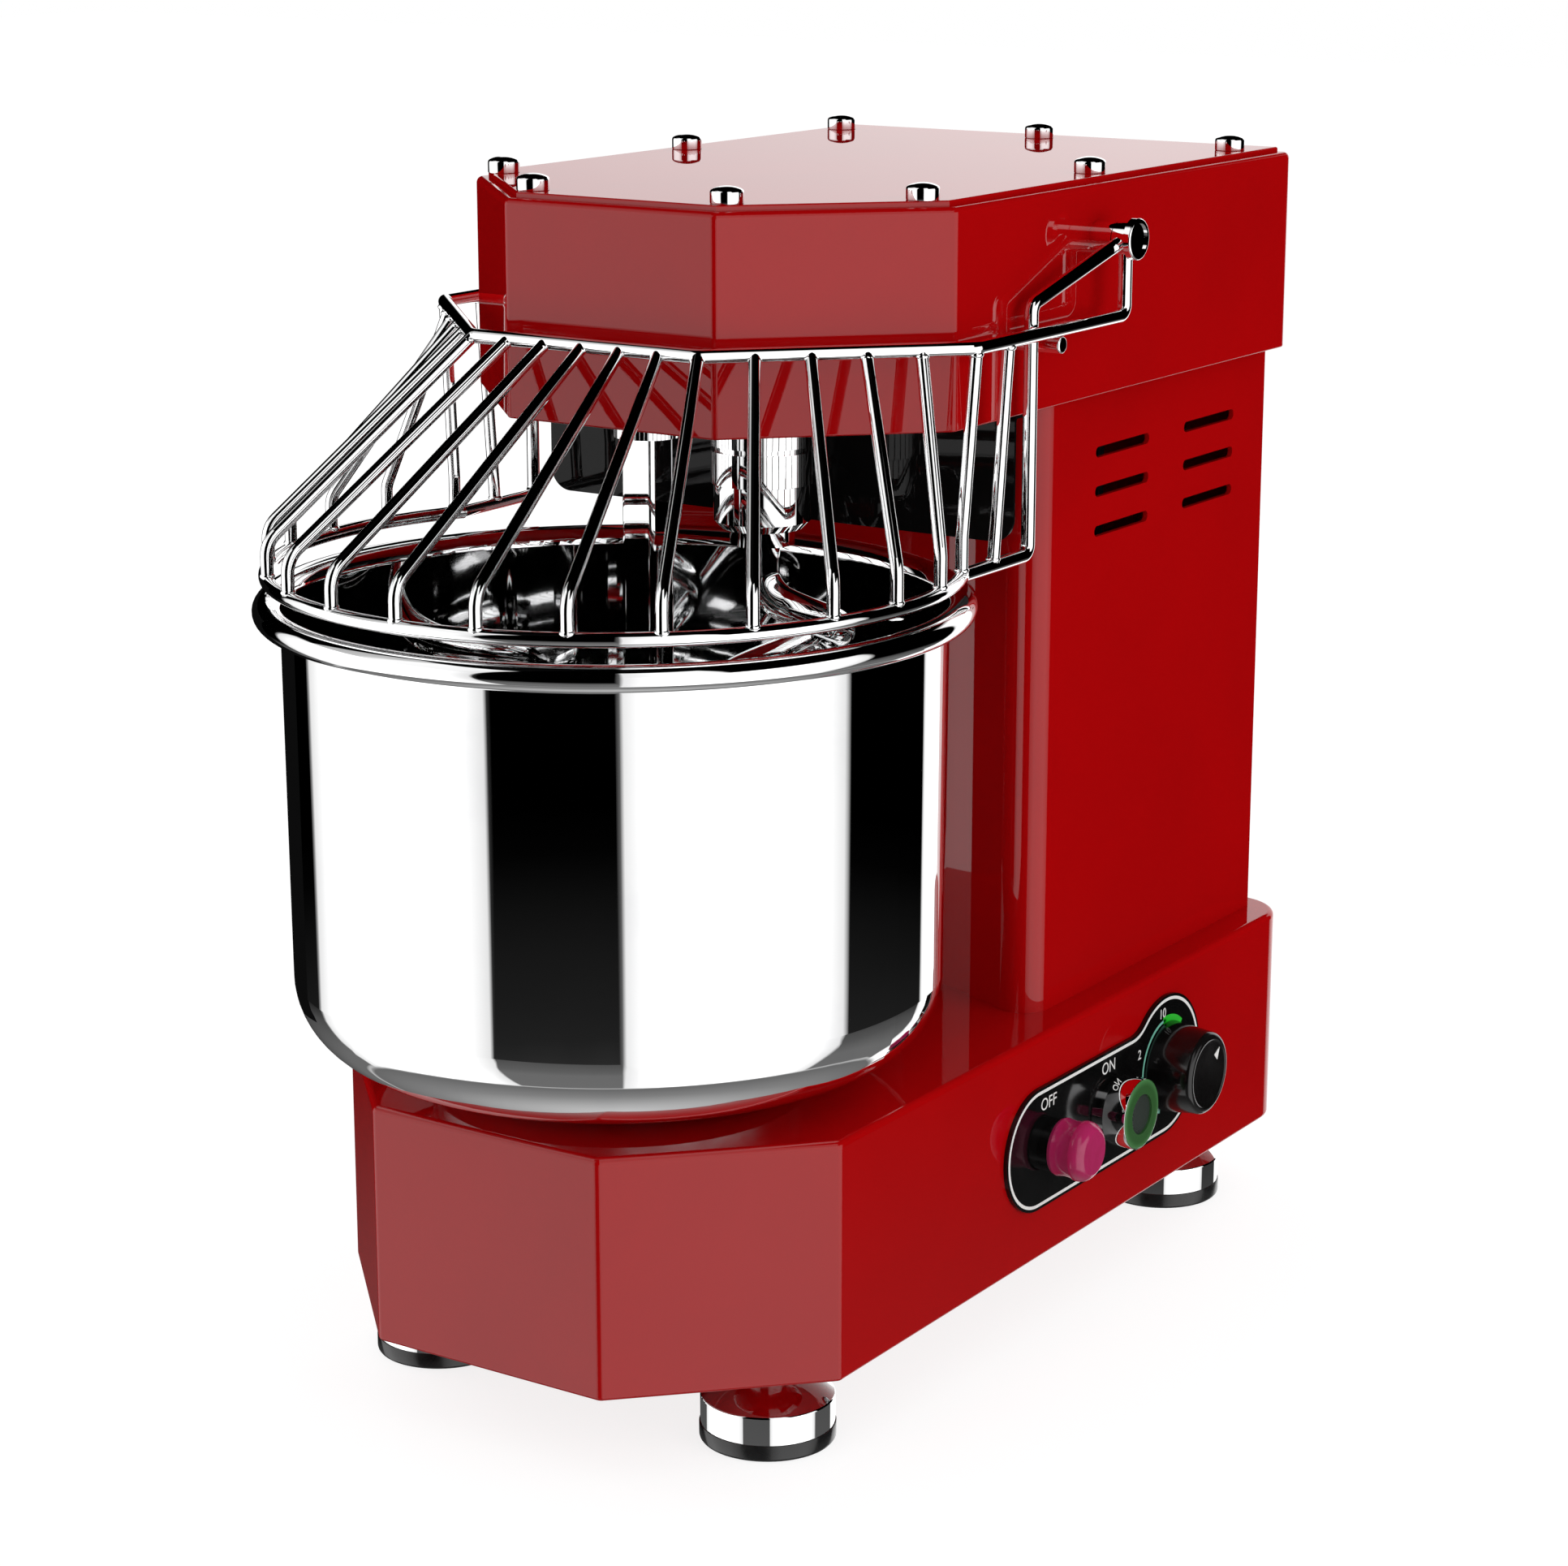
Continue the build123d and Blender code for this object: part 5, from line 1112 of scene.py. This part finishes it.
@dataclass
class GuardWelds:
    """Small weld beads where the guard's wires meet. Sizes in millimetres."""

    rail: Pairs = ((117.6, -49.2), (48.7, -119.8), (-48.7, -119.8), (-117.6, -49.2))
    gaps: tuple[int, ...] = (5, 6, 5)
    rail_z: float = 392.8
    ring_radius: float = 124.5
    ring_z: float = 311.7
    bowl_y: float = -101.9
    fan_end_y: float = -50.72
    knee: float = 14.0
    side_x: float = 112.38
    side_bar_y: float = -26.9
    bead: float = 2.75
    bead_facets: int = 14
    bead_rings: int = 8
    bead_flat: float = 0.62
    bead_rough: float = 0.08
    bead_seed: int = 4
    foot_lift: float = 2.3
    head_drop: float = 2.2

    def bar_ends(self) -> list[tuple[Vector, Vector, Vector]]:
        """Works out where the bars of the fan run.

        Returns:
            Top, knee and foot of every bar.
        """
        corners = [Vector((*corner, self.rail_z)) for corner in self.rail]
        tops = []
        for gaps, start, end in zip(self.gaps, corners, corners[1:]):
            tops += [start.lerp(end, gap / gaps) for gap in range(gaps)]
        tops.append(corners[-1])
        rise = math.asin((self.fan_end_y - self.bowl_y) / self.ring_radius)
        ends = []
        for number, top in enumerate(tops):
            angle = rise - (math.pi + 2 * rise) * number / (len(tops) - 1)
            plan = (self.ring_radius * math.cos(angle), self.bowl_y + self.ring_radius * math.sin(angle))
            ends.append((top, Vector((*plan, self.ring_z + self.knee)), Vector((*plan, self.ring_z))))
        return ends

    def build(self) -> None:
        """Models one bead and copies it to every joint."""
        places = []
        for top, knee, foot in self.bar_ends():
            places.append(top + (knee - top).normalized() * self.head_drop)
            places.append(foot + Vector((0, 0, self.foot_lift)))
        for side in (-1, 1):
            places.append(Vector((side * self.rail[0][0], self.side_bar_y, self.rail_z - self.head_drop)))
            places.append(Vector((side * self.side_x, self.side_bar_y, self.ring_z + self.foot_lift)))
        Bench.clear()
        bpy.ops.mesh.primitive_uv_sphere_add(
            segments=self.bead_facets, ring_count=self.bead_rings, radius=self.bead * MM, location=(0, 0, 0)
        )
        bead = Bench.named("guard_welds")
        bpy.ops.object.mode_set(mode="EDIT")
        bpy.ops.mesh.select_all(action="SELECT")
        bpy.ops.transform.resize(value=(1.0, 1.0, self.bead_flat))
        bpy.ops.transform.vertex_random(
            offset=self.bead_rough * MM, uniform=0.5, normal=0.5, seed=self.bead_seed
        )
        bpy.ops.object.mode_set(mode="OBJECT")
        welds = Bench.spread(bead, [place * MM for place in places])
        Bench.finish(welds, Slot.POLISHED_STEEL, Body.GUARD, smooth=60.0)


@dataclass
class FootPads:
    """Rubber discs under the feet, ribbed below and hollow round the bolt. Sizes in millimetres."""

    foot_x: float = 75.4
    rows: Pair = (-117.5, 185.6)
    profile: Pairs = (
        (0.0, 6.5), (24.7, 6.5), (25.0, 6.38), (25.1, 6.1), (25.1, 1.5), (24.95, 0.9), (24.6, 0.4),
        (24.0, 0.1), (23.4, 0.0), (20.4, 0.0), (20.2, 0.8), (18.4, 0.8), (18.2, 0.0), (15.2, 0.0),
        (15.0, 0.8), (13.2, 0.8), (13.0, 0.0), (9.2, 0.0), (8.8, 0.4), (8.6, 3.4), (0.0, 3.4),
    )

    def build(self) -> None:
        """Turns one pad and copies it under every foot."""
        pad = Bench.lathe("foot_discs", self.profile, Axis.Z, steps=72)
        places = [Vector((side * self.foot_x, y, 0)) * MM for side in (-1, 1) for y in self.rows]
        pads = Bench.finish(Bench.spread(pad, places), Slot.FOOT_RUBBER, Body.MACHINE, smooth=40.0)
        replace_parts(pads, "foot_pads")


@dataclass
class GlandSeal:
    """Rubber seal in the mouth of the cable gland. Sizes in millimetres."""

    centre: Triple = (-50.0, 0.0, 152.0)
    profile: Pairs = (
        (3.58, 222.0), (3.58, 228.6), (3.3, 229.1), (2.7, 229.2), (2.2, 228.7), (1.4, 227.2),
        (1.4, 222.0), (3.58, 222.0),
    )

    def build(self) -> None:
        """Turns the seal about the gland's axis."""
        seal = Bench.lathe("gland_seal", self.profile, Axis.Y, self.centre, steps=48)
        Bench.finish(seal, Slot.BELT_RUBBER, Body.MACHINE)


@dataclass
class Studio:
    """White sweep, soft light and the camera at the photograph's viewing angle. Sizes in metres.

    Only mirrors see the walls, the ground and the ceiling. Their ramps are pairs of an angle, in degrees, and
    a brightness or a share.

    Attributes:
        walls: Walls round the machine, by the turn from its front.
        high_walls: The same walls further up.
        rises: Share of the high walls, by height.
        ceiling: Light from above, by height.
        ground: Light from below, by height over the leaning ground.
        flags: Share of the walls over the white ground, by the same height.
        ground_lean: Upward direction of the leaning ground.
        spill: Least light on the dark walls, by height.
    """

    camera_place: Triple = (0.78146, -1.17517, 0.57513)
    camera_turn: Triple = (75.47, 0.0, 33.46)
    lens: float = 86.49
    sensor: float = 36.0
    nearest: float = 0.05
    ambient: float = 0.6
    lamp_size: float = 1.4
    lamp_aim: Triple = (0.0, 0.0, 0.2)
    lamps: tuple[tuple[str, Triple, float], ...] = (
        ("right_lamp", (1.9, -0.1, 0.5), 12.4),
        ("left_lamp", (-1.9, -0.1, 0.5), 15.0),
        ("back_lamp", (0.2, 2.0, 1.1), 7.0),
    )
    wall_light: float = 1.6
    walls: Pairs = (
        (-180.0, 0.8), (-152.0, 0.8), (-140.2, 0.66), (-139.0, 0.0), (-94.6, 0.0), (-93.4, 0.5), (-84.0, 0.7),
        (-70.0, 1.0), (-33.0, 1.0), (-18.0, 0.7), (-9.6, 0.5), (-8.4, 0.0), (36.4, 0.0), (37.6, 0.53),
        (46.0, 0.75), (56.0, 1.0), (100.0, 1.0), (112.0, 0.7), (120.4, 0.5), (121.6, 0.0), (166.4, 0.0),
        (167.6, 0.66), (180.0, 0.8),
    )
    high_walls: Pairs = (
        (-180.0, 0.0), (-82.6, 0.0), (-81.4, 0.3), (-60.0, 0.35), (-50.0, 0.65), (-18.0, 0.6), (-9.6, 0.5),
        (-8.4, 0.0), (36.4, 0.0), (37.6, 0.53), (50.0, 0.7), (71.0, 0.65), (73.0, 0.0), (180.0, 0.0),
    )
    rises: Pairs = ((-90.0, 0.0), (22.0, 0.0), (26.0, 1.0), (90.0, 1.0))
    ceiling: Pairs = ((-90.0, 1.0), (57.0, 1.0), (59.0, 0.002), (90.0, 0.002))
    ground: Pairs = (
        (-90.0, 0.36), (-75.0, 0.26), (-60.0, 0.14), (-46.6, 0.085), (-45.2, 1.0), (90.0, 1.0),
    )
    flags: Pairs = ((-90.0, 0.0), (-46.6, 0.0), (-45.2, 1.0), (90.0, 1.0))
    ground_lean: Triple = (0.077, -0.116, 0.989)
    spill: Pairs = (
        (-90.0, 0.1), (-35.0, 0.09), (-22.5, 0.044), (-21.5, 0.036), (-20.0, 0.02), (-19.0, 0.009),
        (-17.0, 0.003), (-16.0, 0.0), (90.0, 0.0),
    )
    card_x: float = -0.45
    card_depth: Pair = (-0.082, 0.2)
    card_rise: Pair = (-0.03, 0.35)
    card_glow: float = 0.004
    floor_size: float = 14.0
    floor_colour: Colour = (0.8, 0.8, 0.8)
    floor_seen: Colour = (0.3, 0.3, 0.3)
    floor_lift: float = 0.83

    def build(self) -> None:
        """Sets the view, the world, the lamps, the floor, the card and the camera."""
        bpy.context.scene.view_settings.view_transform = "Standard"
        self.build_world()
        for name, place, power in self.lamps:
            self.build_lamp(name, place, power)
        self.build_floor()
        self.build_card()
        self.build_camera()

    def build_camera(self) -> None:
        """Sets up the camera."""
        camera = bpy.data.cameras.new("view")
        camera.lens = self.lens
        camera.sensor_width = self.sensor
        camera.clip_start = self.nearest
        holder = bpy.data.objects.new("view", camera)
        holder.location = self.camera_place
        holder.rotation_euler = [math.radians(angle) for angle in self.camera_turn]
        bpy.context.scene.collection.objects.link(holder)
        bpy.context.scene.camera = holder

    def build_lamp(self, name: str, place: Triple, power: float) -> None:
        """Hangs one soft lamp that points at the machine and isn't mirrored in it.

        Args:
            name: The lamp's name.
            place: Where it hangs, in metres.
            power: Its power in watts.
        """
        lamp = bpy.data.lights.new(name, "AREA")
        lamp.size = self.lamp_size
        lamp.energy = power
        holder = bpy.data.objects.new(name, lamp)
        holder.location = place
        aim = Vector(self.lamp_aim) - Vector(place)
        holder.rotation_euler = aim.to_track_quat("-Z", "Y").to_euler()
        holder.visible_glossy = False
        bpy.context.scene.collection.objects.link(holder)

    def build_world(self) -> None:
        """Plain white to the camera, panels of white and black to mirrors, even light to the rest."""
        world = bpy.data.worlds.new("studio")
        world.use_nodes = True
        bpy.context.scene.world = world
        graph = Graph(world.node_tree)
        graph.tree.nodes.clear()
        path = graph.add("ShaderNodeLightPath")
        mirrored, even, white = (graph.add("ShaderNodeBackground") for _ in range(3))
        graph.feed(mirrored, Color=self.panels(graph), Strength=self.wall_light)
        graph.feed(even, Color=WHITE, Strength=self.ambient)
        graph.feed(white, Color=WHITE, Strength=1.0)
        seen = graph.maths("MAXIMUM", path.outputs["Is Glossy Ray"], path.outputs["Is Transmission Ray"])
        around = graph.mix_shaders(seen, even, mirrored)
        shown = graph.mix_shaders(path.outputs["Is Camera Ray"], around, white)
        graph.feed(graph.add("ShaderNodeOutputWorld"), Surface=shown.outputs[0])

    def panels(self, graph: Graph) -> Socket:
        """Draws the white walls and black flags that polished metal mirrors.

        Args:
            graph: The world's graph.

        Returns:
            The colour seen in each direction.
        """
        look = graph.add("ShaderNodeTexCoord").outputs["Generated"]
        parts = graph.add("ShaderNodeSeparateXYZ")
        graph.feed(parts, Vector=look)
        front = graph.maths("MULTIPLY", parts.outputs["Y"], -1.0)
        turn = graph.maths("ARCTAN2", parts.outputs["X"], front)
        lean = graph.add("ShaderNodeVectorMath", operation="DOT_PRODUCT")
        graph.fill(lean.inputs, (look, self.ground_lean))
        height = graph.maths("ARCSINE", parts.outputs["Z"])
        depth = graph.maths("ARCSINE", lean.outputs["Value"])
        low, high = (self.ramp(graph, turn, stops) for stops in (self.walls, self.high_walls))
        walls = graph.blend(self.ramp(graph, height, self.rises), low, high)
        walls = graph.blend(1.0, walls, self.ramp(graph, height, self.spill), "LIGHTEN")
        shown = graph.blend(self.ramp(graph, depth, self.flags), WHITE, walls)
        for angle, stops in ((height, self.ceiling), (depth, self.ground)):
            shown = graph.blend(1.0, self.ramp(graph, angle, stops), shown, "MULTIPLY")
        return shown

    @staticmethod
    def ramp(graph: Graph, angle: Socket, stops: Pairs) -> Socket:
        """Adds a grey ramp over an angle.

        Args:
            graph: The world's graph.
            angle: The angle in radians.
            stops: Angles in degrees, each with its brightness, from minus to plus the largest angle.

        Returns:
            The grey at the angle.
        """
        whole = 2 * stops[-1][0]
        share = graph.maths("ADD", graph.maths("DIVIDE", angle, math.radians(whole)), 0.5)
        node = graph.add("ShaderNodeValToRGB")
        elements = node.color_ramp.elements
        while len(elements) < len(stops):
            elements.new(0.5)
        for element, (place, grey) in zip(elements, stops):
            element.position = place / whole + 0.5
            element.color = (grey, grey, grey, 1.0)
        graph.feed(node, Fac=share)
        return node.outputs["Color"]

    def build_floor(self) -> None:
        """Lays a pale floor that keeps the machine's soft shadow."""
        Bench.clear()
        bpy.ops.mesh.primitive_plane_add(size=self.floor_size, location=(0, 0, 0))
        floor = Bench.named("floor")
        floor.visible_glossy = False
        material, graph, output = open_material("pale_floor")
        direct = graph.add("ShaderNodeLightPath").outputs["Is Camera Ray"]
        diffuse = graph.add("ShaderNodeBsdfDiffuse")
        graph.feed(diffuse, Color=graph.blend(direct, self.floor_colour, self.floor_seen))
        lift = graph.add("ShaderNodeEmission")
        graph.feed(lift, Strength=graph.maths("MULTIPLY", direct, self.floor_lift))
        both = graph.add("ShaderNodeAddShader")
        graph.fill(both.inputs, (diffuse.outputs[0], lift.outputs[0]))
        below = graph.add("ShaderNodeNewGeometry").outputs["Backfacing"]
        side = graph.mix_shaders(below, both, graph.add("ShaderNodeBsdfTransparent"))
        graph.feed(output, Surface=side.outputs[0])
        floor.data.materials.append(material)

    def build_card(self) -> None:
        """Stands a black card beside the machine, seen only in what it mirrors, as a photographer's flag."""
        Bench.clear()
        middle = (self.card_x, sum(self.card_depth) / 2, sum(self.card_rise) / 2)
        bpy.ops.mesh.primitive_plane_add(size=1.0, location=middle, rotation=(0, math.pi / 2, 0))
        card = Bench.named("black_card")
        card.scale = (self.card_rise[1] - self.card_rise[0], self.card_depth[1] - self.card_depth[0], 1.0)
        for ray in ("camera", "diffuse", "transmission", "shadow"):
            setattr(card, f"visible_{ray}", False)
        material, graph, output = open_material("black_card")
        dark = graph.add("ShaderNodeEmission")
        graph.feed(dark, Strength=self.card_glow)
        graph.feed(output, Surface=dark.outputs[0])
        card.data.materials.append(material)


def main() -> None:
    """Dresses the frame, adds the small pieces and sets up the studio."""
    logging.basicConfig(level=logging.INFO, format="%(name)s: %(message)s")
    PALETTE.dress_frame(frame["nodes"])
    parts = (
        PanelPrint(), SpeedKnob(), StartSkirt(), SheetScrews(), CapNuts(), GuardWelds(), FootPads(),
        GlandSeal(), Studio(),
    )
    for part in parts:
        part.build()


if __name__ == "__main__":
    main()
